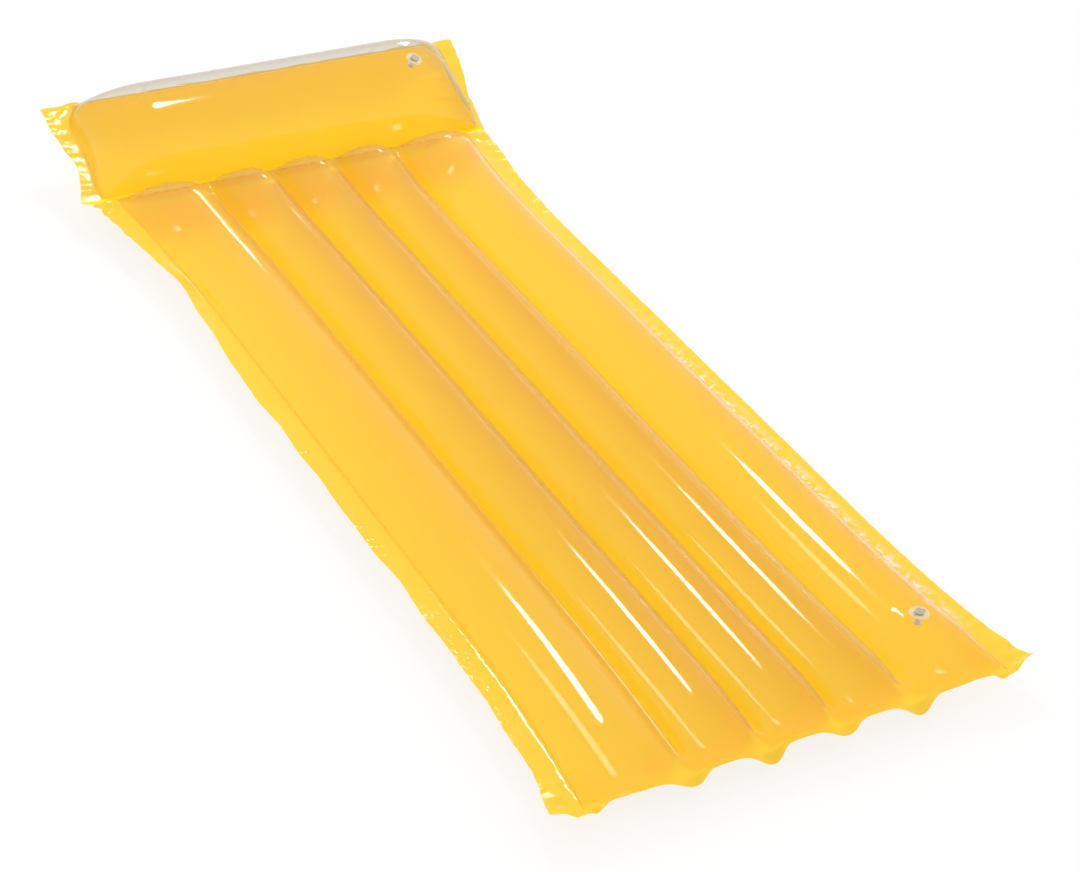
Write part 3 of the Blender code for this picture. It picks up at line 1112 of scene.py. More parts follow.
@dataclass(frozen=True)
class WeldMarks:
    """What the weld bars leave: a bead of squeezed-out vinyl, and the prints of their teeth.

    Attributes:
        bead: Radius of the bead.
        bead_sides: How many faces it has round.
        pitch: Distance between two teeth.
        tooth: Length, width and height of a tooth's print, as shares of the pitch.
        uneven: The smallest and the largest print, as shares of the tooth's.
        seed: Which set of uneven prints.
    """

    bead: float = 0.0003
    bead_sides: int = 6
    pitch: float = 0.0042
    tooth: tuple[float, float, float] = (0.30, 0.16, 0.10)
    uneven: Pair = (0.6, 1.4)
    seed: int = 4

    def tree(self) -> tuple[bpy.types.NodeTree, dict[str, str]]:
        """Make the node tree that follows a line of points.

        Returns:
            The tree, and its inputs' identifiers by name.
        """
        made = bpy.data.node_groups.new("weld_marks", "GeometryNodeTree")
        ends = made.interface
        ends.new_socket("Geometry", in_out="INPUT", socket_type="NodeSocketGeometry")
        kinds = {"Bead radius": "Float", "Pitch": "Float", "Seed": "Int", "Film": "Material"}
        known = {}
        for name, kind in kinds.items():
            socket = ends.new_socket(name, in_out="INPUT", socket_type=f"NodeSocket{kind}")
            known[name] = socket.identifier
        ends.new_socket("Geometry", in_out="OUTPUT", socket_type="NodeSocketGeometry")
        given = add_node(made, "NodeGroupInput").outputs
        line = add_node(made, "GeometryNodeMeshToCurve", in_Mesh=given["Geometry"])
        ring = add_node(
            made,
            "GeometryNodeCurvePrimitiveCircle",
            in_Resolution=self.bead_sides,
            in_Radius=given["Bead radius"],
        )
        bead = add_node(
            made,
            "GeometryNodeCurveToMesh",
            in_Curve=line,
            in_Profile_Curve=ring,
            in_Fill_Caps=True,
        )
        spots = add_node(
            made,
            "GeometryNodeCurveToPoints",
            mode="LENGTH",
            in_Curve=line,
            in_Length=given["Pitch"],
        )
        least, most = self.uneven
        uneven = add_node(
            made,
            "FunctionNodeRandomValue",
            data_type="FLOAT_VECTOR",
            in_0=tuple(least * share for share in self.tooth),
            in_1=tuple(most * share for share in self.tooth),
            in_Seed=given["Seed"],
        )
        size = add_node(
            made, "ShaderNodeVectorMath", operation="SCALE", in_0=uneven, in_Scale=given["Pitch"]
        )
        # A print is smaller than a pixel, so its twenty faces are enough
        print_shape = add_node(made, "GeometryNodeMeshIcoSphere", in_Radius=1.0, in_Subdivisions=1)
        prints = add_node(
            made,
            "GeometryNodeInstanceOnPoints",
            in_Points=spots,
            in_Instance=print_shape,
            in_Rotation=spots.outputs["Rotation"],
            in_Scale=size,
        )
        both = add_node(made, "GeometryNodeJoinGeometry")
        made.links.new(prints.outputs[0], both.inputs[0])
        made.links.new(bead.outputs[0], both.inputs[0])
        real = add_node(made, "GeometryNodeRealizeInstances", in_Geometry=both)
        dressed = add_node(
            made, "GeometryNodeSetMaterial", in_Geometry=real, in_Material=given["Film"]
        )
        add_node(made, "NodeGroupOutput", in_Geometry=dressed)
        return made, known

    def build(
        self, name: str, lines: Sequence[Array], finish: bpy.types.Material
    ) -> bpy.types.Object:
        """Make the marks along some lines.

        Args:
            name: The piece's name.
            lines: The points of each line x 3.
            finish: The film's material.

        Returns:
            The piece.
        """
        mesh = bpy.data.meshes.new(name)
        starts = np.cumsum([0, *(len(line) for line in lines)])
        links = [
            (at, at + 1) for start, end in zip(starts, starts[1:]) for at in range(start, end - 1)
        ]
        mesh.from_pydata(np.concatenate(lines).tolist(), links, [])
        made = placed(name, mesh)
        group, known = self.tree()
        marks = made.modifiers.new("Weld marks", "NODES")
        marks.node_group = group
        marks[known["Bead radius"]] = self.bead
        marks[known["Pitch"]] = self.pitch
        marks[known["Seed"]] = self.seed
        marks[known["Film"]] = finish
        bake_modifiers(made)
        made.data.shade_smooth()
        log.info("%s: %d faces", name, len(made.data.polygons))
        return made


class AirSpace(ABC):
    """An air space between a clear and a coloured film that are welded to each other."""

    name: str
    air: Inflation

    @abstractmethod
    def film(self, layer: Layer) -> FilmGrid:
        """Shape one film before it is blown up.

        Args:
            layer: Which film.

        Returns:
            The film in the object's own place.
        """

    @abstractmethod
    def crumple(self, points: Array, flange: Array) -> Array:
        """Fold and wave a blown-up film.

        Args:
            points: Points x 3.
            flange: How far out on the welded edge each is.

        Returns:
            The moved points.
        """

    @abstractmethod
    def seams(self) -> list[Array]:
        """Follow the edges of the welds.

        Returns:
            A line of points x 3 for each.
        """

    @abstractmethod
    def seat(self) -> ValveSeat:
        """Find the flat spot of the valve.

        Returns:
            The seat.
        """

    def build(self, layer: Layer, finish: bpy.types.Material) -> bpy.types.Object:
        """Make one film.

        Args:
            layer: Which film.
            finish: Its material.

        Returns:
            The finished piece.
        """
        grid = self.film(layer)
        made = grid.to_object(f"{self.name}_{layer.word}_film", layer)
        self.air.run(made, grid.held)
        finer = made.modifiers.new("Finer", "SUBSURF")
        finer.levels = finer.render_levels = 1
        bake_modifiers(made)
        points = coordinates(made.data)
        flange = np.empty(len(points), np.float32)
        made.data.attributes["flange"].data.foreach_get("value", flange)
        points = self.crumple(points, flange)
        if layer is Layer.CLEAR:
            points = self.seat().settle(points)
        points[:, 2] = np.maximum(points[:, 2], FILM / 2)
        move_to(made.data, points)
        if layer is Layer.CLEAR:
            self.seat().pierce(made)
        made.data.materials.append(finish)
        return made


@dataclass(frozen=True)
class ChannelPaintedLight:
    """Where the films of the channels show painted light: a painted silvery reflection on the clear
    film, and painted shade on the coloured one.

    Attributes:
        row_inside: How far the row of painted silvery reflection reaches in from the weld at +X.
        row_outside: Where outside this weld the row begins to weaken, and where it has ended.
        row_foot: Where the row begins, from the foot edge, and where it is full.
        row_head: Where it begins to weaken, from the foot edge, and where it is at its weakest.
        row_loss: How much of it is gone there.
        end_shares: How deep the painted orange shade is at the head and at the foot.
        end_rise: How far from an end weld it is full.
        end_fall: Where it begins to weaken, and where it has ended.
        end_room: How far from an inner weld it begins, and where it is full.
    """

    row_inside: float = 0.010
    row_outside: Pair = (0.012, 0.024)
    row_foot: Pair = (0.06, 0.16)
    row_head: Pair = (0.70, 0.95)
    row_loss: float = 0.75
    end_shares: Pair = (0.75, 0.45)
    end_rise: float = 0.020
    end_fall: Pair = (0.030, 0.095)
    end_room: Pair = (0.004, 0.018)

    def painted_silvery_reflection(self, rows: Array, beyond: Array) -> Array:
        """Along the weld at +X the two films part, and the air between them is given a painted
        silvery reflection.

        Args:
            rows: Distances from the foot edge.
            beyond: Distances outwards from the weld.

        Returns:
            The painted reflection's share, rows x columns.
        """
        beside = smooth_step(beyond, -self.row_inside, 0.0)
        beside *= 1 - smooth_step(beyond, *self.row_outside)
        stretch = smooth_step(rows, *self.row_foot)
        stretch *= 1 - self.row_loss * smooth_step(rows, *self.row_head)
        return np.outer(stretch, beside)

    def painted_end_shade(self, ends: Sequence[Array], off: Array, inside: Array) -> Array:
        """Painted shade: a deeper orange where the film turns up to its end welds and less light
        comes through it.

        Args:
            ends: Each row's distance from the head's weld and from the foot's.
            off: Each column's distance from the nearest inner weld.
            inside: Which columns aren't on a flange.

        Returns:
            The painted shade's share, rows x columns.
        """
        depths = []
        for distance, share in zip(ends, self.end_shares):
            rise = smooth_step(distance, 0.0, self.end_rise)
            depths.append(share * rise * (1 - smooth_step(distance, *self.end_fall)))
        return np.outer(np.maximum(*depths), smooth_step(off, *self.end_room) * inside)


@dataclass(frozen=True)
class FlangeWaves:
    """How the body's loose welded edges wave at the sides.

    Attributes:
        slow: Wavelengths of the long waves.
        quick: Wavelengths of the short ones.
        seeds: Which waves the edge at -X has, and which the one at +X.
        calm: How far from the weld at the head the edges are calmed.
        foot_reach: How far from the foot its stronger short waves reach.
        head_reach: The same from the head.
        rise: Height of the long waves, of the short ones, and how much higher these are there.
        sway: How far the long waves go sideways, and how far the short ones do at the ends.
        curl_at: How far from the head the edge at -X turns up.
        curl_width: How far along the edge that goes.
        curl: How far it turns up, and how far in.
    """

    slow: tuple[float, ...] = (0.31, 0.19, 0.123)
    quick: tuple[float, ...] = (0.047, 0.031, 0.022)
    seeds: tuple[int, int] = (5, 9)
    calm: float = 0.025
    foot_reach: float = 0.16
    head_reach: float = 0.20
    rise: tuple[float, float, float] = (0.0018, 0.0005, 0.003)
    sway: Pair = (0.002, 0.0016)
    curl_at: float = 0.26
    curl_width: float = 0.13
    curl: Pair = (0.010, 0.009)

    def add(self, moved: Array, out: Array, along: Array, left: Array) -> None:
        """Move the points of both edges.

        Args:
            moved: The points x 3, which are changed.
            out: How far out on the loose edge each is.
            along: How far each is from the foot edge.
            left: How far each is from the weld at the head.
        """
        side = np.sign(moved[:, 0])
        for sign, seed in zip((-1, 1), self.seeds):
            here = out * (side == sign)
            slow = ripple(along, self.slow, seed)
            quick = ripple(along, self.quick, seed + 1)
            ends = fade(along, self.foot_reach) + fade(left, self.head_reach)
            curl = swell(left - self.curl_at, self.curl_width) * (sign < 0)
            height = self.rise[0] * slow + (self.rise[1] + self.rise[2] * ends) * quick
            moved[:, 2] += here * (height + self.curl[0] * curl)
            shift = self.sway[0] * (1 + slow) + self.sway[1] * ends * quick
            moved[:, 0] -= here * (shift + self.curl[1] * curl) * sign


@dataclass(frozen=True)
class Puckers:
    """Waves in spare film that gathers along a weld.

    Attributes:
        height: How high they are.
        lengths: Their wavelengths.
        seed: Which puckers of their kind.
        reach: How far from the weld they go, where that is limited.
    """

    height: float
    lengths: tuple[float, ...]
    seed: int
    reach: float = 0.0

    def heights(self, along: Array, strength: Array) -> Array:
        """How high they are.

        Args:
            along: Distances along the weld.
            strength: How much of them there is at each point, from 0 to 1.

        Returns:
            A height for each point.
        """
        return self.height * strength * ripple(along, self.lengths, self.seed)


@dataclass(frozen=True)
class WeldKnots:
    """The lopsided folds in the foot edge, one at the end of each inner weld.

    Attributes:
        width: How far to each side a fold reaches.
        reach: How far it goes from the foot edge.
        depth: How far it hangs down.
        shift: How far it is drawn to +X.
        uneven: How much one fold differs from the next.
        turn: How far apart in their kind neighbouring folds are, in radians.
    """

    width: float = 0.019
    reach: float = 0.034
    depth: float = 0.014
    shift: float = 0.005
    uneven: float = 0.25
    turn: float = 9.0

    def add(self, moved: Array, points: Array, along: Array, at: Sequence[Pair]) -> None:
        """Move the points of the foot edge.

        Args:
            moved: The points x 3, which are changed.
            points: Where they were.
            along: How far each was from the foot edge.
            at: Place of each fold along X, and its place counted in pitches of the channels.
        """
        for centre, number in at:
            near = swell(points[:, 0] - centre, self.width) * fade(along, self.reach)
            lopsided = 1 + self.uneven * math.sin(self.turn * number)
            moved[:, 2] -= self.depth * near * lopsided
            moved[:, 0] += self.shift * near * lopsided


@dataclass
class ChannelBody(AirSpace):
    """The five channels, from the foot edge to the weld that the pillow folds on.

    Attributes:
        pitch: Distance between two inner welds.
        weld: Width of an inner weld.
        flange: Width of the welded edge at the sides, at the waist.
        corner_width: Width over the corners, which the edge flares out to over corner_reach.
        waist_reach: How far from an end the channels spread, by spread_share at the most.
        foot_draw: How far the blown-up channels draw the foot edge in.
        corner_draw: How far they draw it in at the corners, and corner_rise how far up.
        draw_reach: How far from the foot edge that goes.
        draw_room: How far from an inner weld the draw begins, and where it is full.
        outer_draw_room: The same in the outer channels, whose draw ends over outer_draw_ease.
        fullness: How round the domes at the ends are.
        passage: How far the inner welds stop short of the ends, which leaves an air passage.
        passage_width: Half the width of the passage's neck, and passage_rise its height.
        head_rise: How much higher the weld at the head lies, over head_rise_reach.
        cell: Distance between neighbouring points.
        arc_length: About how much longer a channel's arc is than its chord.
        dome_arc: The same for a dome at an end.
        dome_close: How much closer the points are at the foot of a dome, as a power.
        loose: Where the loose edge begins, as a share of the side weld's place.
        crease_width: How far from a weld the film is creased.
        lifted: How far above the weld plane the film begins to gather.
        foot_gather: How much of the head's puckers the foot has, and how far they reach there.
    """

    length: float = 1.470
    pitch: float = 0.099
    weld: float = 0.006
    outer_width: float = 0.128
    half_height: float = 0.0455
    inner_welds: int = 4
    flange: float = 0.036
    foot_flange: float = 0.012
    corner_width: float = 0.690
    corner_reach: float = 0.130
    waist_reach: float = 0.340
    spread_share: float = 0.08
    foot_draw: float = 0.009
    corner_draw: float = 0.014
    corner_rise: float = 0.008
    draw_reach: float = 0.080
    draw_room: Pair = (0.009, 0.031)
    outer_draw_room: Pair = (0.004, 0.036)
    outer_draw_ease: float = 0.050
    foot_dome: float = 0.078
    head_dome: float = 0.080
    fullness: float = 0.60
    passage: float = 0.030
    passage_width: float = 0.012
    passage_rise: float = 0.009
    cross_weld: float = 0.008
    head_rise: float = 0.010
    head_rise_reach: float = 0.200
    cell: float = 0.009
    arc_length: float = 1.3
    dome_arc: float = 1.35
    dome_close: float = 1.4
    loose: float = 0.98
    valve_from_foot: float = 0.103
    crease_width: float = 0.016
    lifted: float = 0.003
    foot_gather: Pair = (0.5, 0.10)
    name: str = "mattress"
    air: Inflation = Inflation()
    painted_light_marks: ChannelPaintedLight = ChannelPaintedLight()
    waves: FlangeWaves = FlangeWaves()
    pleats: Pleats = Pleats(0.095, 0.010)
    seam_puckers: Puckers = Puckers(0.0011, (0.027, 0.019, 0.0143), 17, 0.024)
    end_puckers: Puckers = Puckers(0.0022, (0.024, 0.0155, 0.0107), 31, 0.09)
    knots: WeldKnots = WeldKnots()

    def __post_init__(self) -> None:
        """Work out the places that follow from the sizes."""
        self.weld_height = FIT_GAP / 2 + self.half_height + FILM
        self.weld_edge = (self.inner_welds - 1) / 2 * self.pitch + self.weld / 2
        self.weld_x = self.weld_edge + self.outer_width
        self.edge_x = self.weld_x + self.flange
        self.head_y = self.length - self.cross_weld / 2
        self.foot_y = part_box("mattress_bottom_film")[0].y
        self.hinge = Vector((0.0, self.foot_y + self.length, self.weld_height + self.head_rise))

    def weld_lines(self) -> Array:
        """Where the inner welds' middles are at the waist."""
        return (np.arange(self.inner_welds) - (self.inner_welds - 1) / 2) * self.pitch

    def columns(self) -> tuple[Array, Array, Array]:
        """The lines of points across the body.

        Returns:
            Place at the waist, height of the film above the weld plane, and how far out on the
            side flange, for each line.
        """
        lows = np.concatenate([[-self.weld_x], self.weld_lines() + self.weld / 2])
        highs = np.concatenate([self.weld_lines() - self.weld / 2, [self.weld_x]])
        steps = round(self.flange / self.cell)
        rim = np.linspace(1, 0, steps + 1)[:-1]
        xs, heights = [-self.weld_x - self.flange * rim], [np.zeros(steps)]
        for low, high in zip(lows, highs):
            width = high - low
            half = min(2 * math.atan(2 * self.half_height / width), math.pi / 2)
            angles = half * np.linspace(-1, 1, round(width * self.arc_length / self.cell) + 1)
            radius = width / 2 / math.sin(half)
            lift = (np.cos(angles) - math.cos(half)) / (1 - math.cos(half))
            xs.append((low + high) / 2 + radius * np.sin(angles))
            heights.append(self.half_height * np.clip(lift, 0.0, 1.0))
        xs.append(self.weld_x + self.flange * rim[::-1])
        heights.append(np.zeros(steps))
        flanges = np.zeros(sum(len(x) for x in xs))
        flanges[:steps], flanges[-steps:] = rim, rim[::-1]
        return np.concatenate(xs), np.concatenate(heights), flanges

    def rows(self) -> Array:
        """The lines of points along the body, closer where the ends dome.

        Returns:
            Their distances from the foot edge.
        """
        foot = self.foot_flange
        steps = round(self.foot_dome * self.dome_arc / self.cell)
        swing = np.linspace(0, 1, steps + 1)[:-1] ** self.dome_close
        low, high = foot + self.foot_dome, self.head_y - self.head_dome
        span = np.linspace(low, high, round((high - low) / self.cell) + 1)
        edge = np.linspace(0, foot, 3)[:-1]
        ends = foot + self.foot_dome * swing, (self.head_y - self.head_dome * swing)[::-1]
        return np.concatenate([edge, ends[0], span, ends[1]])

    def film(self, layer: Layer) -> FilmGrid:
        """Shape one film before it is blown up.

        Args:
            layer: Which film.

        Returns:
            The film in the object's own place.
        """
        x_waist, bulge, rim = self.columns()
        rows = self.rows()
        from_foot, from_head = rows - self.foot_flange, self.head_y - rows
        nearest = np.minimum(from_foot, from_head)
        side = np.abs(x_waist)
        off = np.abs(x_waist[:, None] - self.weld_lines()[None, :]).min(1)

        end = np.minimum(rows, self.length - rows)
        spread = 1 + self.spread_share * fade(end, self.waist_reach)
        flare = self.corner_width / 2 - self.edge_x * (1 + self.spread_share)
        x = np.outer(spread, x_waist)
        x += np.outer(fade(end, self.corner_reach) * flare, np.sign(x_waist) * rim)

        near_foot = fade(rows, self.draw_reach)
        drawn = smooth_step(off, *self.draw_room) * (side < self.weld_edge)
        outer = smooth_step(side - self.weld_edge, *self.outer_draw_room)
        outer *= smooth_step(self.weld_x - side, 0.0, self.outer_draw_ease)
        y = rows[:, None] + np.outer(near_foot, np.maximum(drawn, outer) * self.foot_draw)
        y += np.outer(near_foot, rim * self.corner_draw)

        opened = dome(from_foot, self.foot_dome, self.fullness)
        opened *= dome(from_head, self.head_dome, self.fullness)
        passed = (nearest > 0) & (nearest < self.passage)
        lift = np.where(passed, np.sin(math.pi * nearest / self.passage), 0.0) * self.passage_rise
        neck = swell(off, self.passage_width)
        height = np.cbrt(np.outer(opened, bulge) ** 3 + np.outer(lift, neck) ** 3)
        head_rise = self.head_rise * fade(self.length - rows, self.head_rise_reach)
        raised = np.outer(head_rise, np.ones_like(rim))
        raised += np.outer(near_foot, rim * self.corner_rise)
        z = self.weld_height + raised + layer.value * (FIT_GAP / 2 + height)

        on_weld = off < self.weld / 2 + SAME_PLACE
        held = (bulge < SAME_PLACE)[None, :] & ~(on_weld[None, :] & passed[:, None])
        held = held | (from_foot <= SAME_PLACE)[:, None] | (nearest <= SAME_PLACE)[:, None]
        every = np.ones_like(rows)
        flange = np.maximum(np.outer(every, rim), fade(rows, self.foot_flange)[:, None])
        beside_weld = swell(np.maximum(off - self.weld / 2, 0), self.crease_width)
        beside_seam = swell(np.clip(self.weld_x - side, 0, None), self.crease_width)
        valley = np.outer(every, np.maximum(beside_weld, beside_seam))
        # Painted light: a silvery reflection beside the weld on the clear film, and shade where the
        # coloured film turns up at the ends
        if layer is Layer.CLEAR:
            painted_light = self.painted_light_marks.painted_silvery_reflection(rows, x_waist - self.weld_x)
        else:
            painted_light = self.painted_light_marks.painted_end_shade((from_head, from_foot), off, side < self.weld_x)
        points = np.stack([x, y + self.foot_y, z], axis=-1)
        return FilmGrid(points, held, flange, valley, painted_light)

    def seams(self) -> list[Array]:
        """Follow the edges of the welds: the sides and both edges of each inner weld.

        Returns:
            A line of points x 3 for each.
        """
        x_waist, bulge, _ = self.columns()
        rows = self.rows()
        points = self.film(Layer.CLEAR).points
        nearest = np.minimum(rows - self.foot_flange, self.head_y - rows)
        welded = (bulge < SAME_PLACE) & (np.abs(x_waist) <= self.weld_x + SAME_PLACE)
        lines = []
        for column in np.flatnonzero(welded):
            side = abs(x_waist[column]) > self.weld_edge + self.weld
            line = points[nearest >= (0.0 if side else self.passage), column]
            lines.append(self.crumple(line, np.zeros(len(line))))
        return lines

    def seat(self) -> ValveSeat:
        """Find the flat spot of the valve, on the crest of the channel at +X.

        Returns:
            The seat.
        """
        spread = 1 + self.spread_share * fade(np.array(self.valve_from_foot), self.waist_reach)
        crest = (self.weld_x - self.outer_width / 2) * float(spread)
        height = self.weld_height + FIT_GAP / 2 + self.half_height + FILM
        return ValveSeat(Matrix.Translation((crest, self.foot_y + self.valve_from_foot, height)))

    def crumple(self, points: Array, flange: Array) -> Array:
        """Wave the welded edges and fold them at the corners and at the ends of the welds.

        Args:
            points: Points x 3.
            flange: How far out on the welded edge each is.

        Returns:
            The moved points.
        """
        moved = points.copy()
        along = points[:, 1] - self.foot_y
        left = self.length - along
        side = np.abs(points[:, 0])
        flange = flange * smooth_step(self.head_y - along, 0.0, self.waves.calm)
        self.waves.add(moved, flange * (side > self.weld_x * self.loose), along, left)
        spread = 1 + self.spread_share
        ends = (self.foot_flange, self.length - self.cross_weld)
        for sign, y in itertools.product((-1, 1), ends):
            corner = (sign * self.weld_x * spread, self.foot_y + y)
            moved[:, 2] += flange * self.pleats.heights(points, corner)
        room = self.weld_x * (1 + self.spread_share * fade(along, self.waist_reach))
        beside = fade(np.abs(room - side), self.seam_puckers.reach)
        moved[:, 0] += self.seam_puckers.heights(along, beside)
        share, reach = self.foot_gather
        gather = share * fade(along, reach) + fade(left, self.end_puckers.reach)
        free = points[:, 2] > self.weld_height + self.lifted
        moved[:, 2] += self.end_puckers.heights(points[:, 0], free * gather)
        at = [(line * spread, line * spread / self.pitch) for line in self.weld_lines()]
        self.knots.add(moved, points, along, at)
        return TuckedEdge(self.hinge.y).draw(moved)


@dataclass
class Pillow(AirSpace):
    """The pillow's round tube, on a slant because the ground carries it.

    Attributes:
        hinge: Middle of the fold in the weld across the head.
        weld_height: Height of the channels' weld plane.
        head_rise: How far the fold lies above it.
        flat_deg: How much of the tube's circle is flat where it rests, in degrees.
        side: Half the air space's width over its corners, which side_draw draws in between them.
        fullness: How round the domes at the ends are.
        round_back: How far the air space's back corners are rounded off, over back_share.
        round_front: The same at the front, over front_share.
        corner: How much further the welded edge reaches at the corners.
        edge_bulge: How much wider it is a little behind the middle.
        bulge_shares: Where it begins to widen and is widest, narrows and has narrowed, as
            shares of its length from the fold.
        valve_stations: The valve's two sides, as shares of the dome from the end.
        cell: Distance between neighbouring points.
        dome_arc: About how much longer a dome's arc is than the dome.
        crease_height: How far above the weld plane the film is creased.
        front_pleats: How far from the fold the front pleats' corner is.
        wave_from: How far from the fold the welded edge begins to wave, and does so fully.
        slant: How much a wave runs on along X.
        lifted: How far from the weld plane the film begins to gather.
    """

    hinge: Vector
    weld_height: float
    head_rise: float
    radius: float = 0.093
    flat_deg: float = 16.0
    side: float = 0.332
    side_draw: float = 0.014
    dome_length: float = 0.110
    fullness: float = 0.50
    round_back: float = 0.024
    back_share: Pair = (0.78, 1.0)
    round_front: float = 0.010
    front_share: Pair = (0.0, 0.2)
    back_flange: float = 0.007
    side_flange: float = 0.021
    rim_steps: int = 3
    corner: float = 0.007
    edge_bulge: float = 0.010
    bulge_shares: tuple[Pair, Pair] = ((0.35, 0.60), (0.75, 1.0))
    cross_weld: float = 0.008
    valve_stations: Pair = (0.64, 1.0)
    cell: float = 0.009
    dome_arc: float = 1.4
    crease_height: float = 0.02
    front_pleats: float = 0.012
    wave_from: Pair = (0.004, 0.03)
    slant: float = 0.3
    lifted: float = 0.004
    name: str = "pillow"
    air: Inflation = Inflation(cap=0.005)
    edge_waves: Puckers = Puckers(0.0020, (0.043, 0.029, 0.019), 21)
    pleats: Pleats = Pleats(0.080, 0.008)
    side_puckers: Puckers = Puckers(0.0020, (0.037, 0.023, 0.0151), 23, 0.080)

    def __post_init__(self) -> None:
        """Work out the tilt and the place of the tube."""
        self.centre = self.cross_weld / 2 + self.radius
        self.crown = self.radius * math.cos(math.radians(self.flat_deg) / 2)
        rest = FIT_GAP / 2 + self.crown + FILM
        self.tilt = math.asin((rest - self.weld_height - self.head_rise) / self.centre)
        self.place = Matrix.Translation(self.hinge) @ Matrix.Rotation(self.tilt, 4, "X")

    def film(self, layer: Layer) -> FilmGrid:
        """Shape one film before it is blown up.

        Args:
            layer: Which film.

        Returns:
            The film in the object's own place.
        """
        angles = np.linspace(0, math.pi, round(math.pi * self.radius / self.cell) + 1)
        back = self.centre + self.radius + self.back_flange
        reach = np.append(self.centre - self.radius * np.cos(angles), back)
        bulge = np.append(self.crown * np.sin(angles), 0.0)
        inner = self.side - self.side_draw - self.dome_length
        steps = round(self.dome_length * self.dome_arc / self.cell)
        turn = np.linspace(0, math.pi / 2, steps + 1)
        into = self.dome_length * (1 - np.cos(turn))
        rims = np.linspace(1, 0, self.rim_steps + 1)[:-1]
        span = np.linspace(-inner, inner, round(2 * inner / self.cell) + 1)[1:-1]
        along = np.clip(reach / (2 * self.centre), 0, 1)
        seam = self.seam(along)[:, None]
        side_x = seam - into[None, :]
        rim_x = seam + self.flange_width(along)[:, None] * rims[None, :]
        middle = 0 * reach[:, None] + span
        x = np.concatenate([-rim_x, -side_x, middle, side_x[:, ::-1], rim_x[:, ::-1]], 1)
        opened = dome(into, self.dome_length, self.fullness)
        shut = 0 * rims
        share = np.concatenate([shut, opened, np.ones_like(span), opened[::-1], shut])
        height = np.outer(bulge, share)
        y = np.repeat(reach[:, None], x.shape[1], 1)
        z = layer.value * (FIT_GAP / 2 + height)
        points = carried(np.stack([x, y, z], axis=-1), self.place)
        rim = np.concatenate([rims, np.zeros(x.shape[1] - 2 * self.rim_steps), rims[::-1]])
        flange = np.repeat(rim[None, :], len(reach), 0)
        flange[-1] = 1.0
        valley = swell(height, self.crease_height)
        return FilmGrid(points, height < SAME_PLACE, flange, valley, 0 * height)

    def seam(self, along: Array) -> Array:
        """Half the air space's width.

        Args:
            along: Shares of its length, from the fold to the back.

        Returns:
            The half width at each.
        """
        rounded_off = self.round_back * smooth_step(along, *self.back_share)
        rounded_off += self.round_front * (1 - smooth_step(along, *self.front_share))
        return self.side - self.side_draw * np.sin(math.pi * along) - rounded_off

    def flange_width(self, along: Array) -> Array:
        """Width of the side flange.

        Args:
            along: Shares of the air space's length, from the fold to the back.

        Returns:
            The width at each.
        """
        widens, narrows = self.bulge_shares
        bulge = self.edge_bulge * smooth_step(along, *widens) * (1 - smooth_step(along, *narrows))
        edge = self.side - self.side_draw * np.sin(math.pi * along) + self.side_flange
        return edge + self.corner * (2 * along - 1) ** 2 + bulge - self.seam(along)

    def seams(self) -> list[Array]:
        """Follow the inner edges of the welded rim.

        Returns:
            A line of points x 3 for each.
        """
        grid = self.film(Layer.CLEAR)
        first, last = np.flatnonzero(grid.flange[0] < SAME_PLACE)[[0, -1]]
        sides = [grid.points[:-1, first], grid.points[:-1, last]]
        lines = [*sides, grid.points[-2, first : last + 1]]
        return [self.crumple(line, np.zeros(len(line))) for line in lines]

    def seat(self) -> ValveSeat:
        """Find the flat spot of the valve, where the tube begins to close at +X.

        Returns:
            The seat.
        """
        seam = self.side - self.side_draw
        stations = []
        for share in self.valve_stations:
            at = self.dome_length * share
            opened = float(dome(np.array(at), self.dome_length, self.fullness))
            height = FIT_GAP / 2 + self.crown * opened
            stations.append(Vector((seam - at, self.centre, height)))
        low, high = stations
        slope = math.atan2(high.z - low.z, low.x - high.x)
        middle = (low + high) / 2 + FILM * Vector((math.sin(slope), 0.0, math.cos(slope)))
        return ValveSeat(self.place @ Matrix.Translation(middle) @ Matrix.Rotation(slope, 4, "Y"))

    def crumple(self, points: Array, flange: Array) -> Array:
        """Wave and pleat the welded edges, and gather the film at its ends.

        Args:
            points: Points x 3.
            flange: How far out on the welded edge each is.

        Returns:
            The moved points.
        """
        local = carried(points, self.place.inverted())
        out = flange * smooth_step(local[:, 1], *self.wave_from)
        local[:, 2] += self.edge_waves.heights(local[:, 1] + self.slant * local[:, 0], out)
        ends = (self.front_pleats, self.centre + self.radius)
        for sign, y in itertools.product((-1, 1), ends):
            corner = (sign * (self.side - self.round_back), y)
            local[:, 2] += out * self.pleats.heights(local, corner)
        free = (flange < SAME_PLACE) * (np.abs(local[:, 2]) > self.lifted)
        side = np.clip(self.side - np.abs(local[:, 0]), 0, None)
        gather = free * fade(side, self.side_puckers.reach)
        puckers = self.side_puckers.heights(local[:, 1] + local[:, 2], gather)
        local[:, 0] += puckers * np.sign(local[:, 0])
        return TuckedEdge(self.hinge.y).draw(carried(local, self.place))


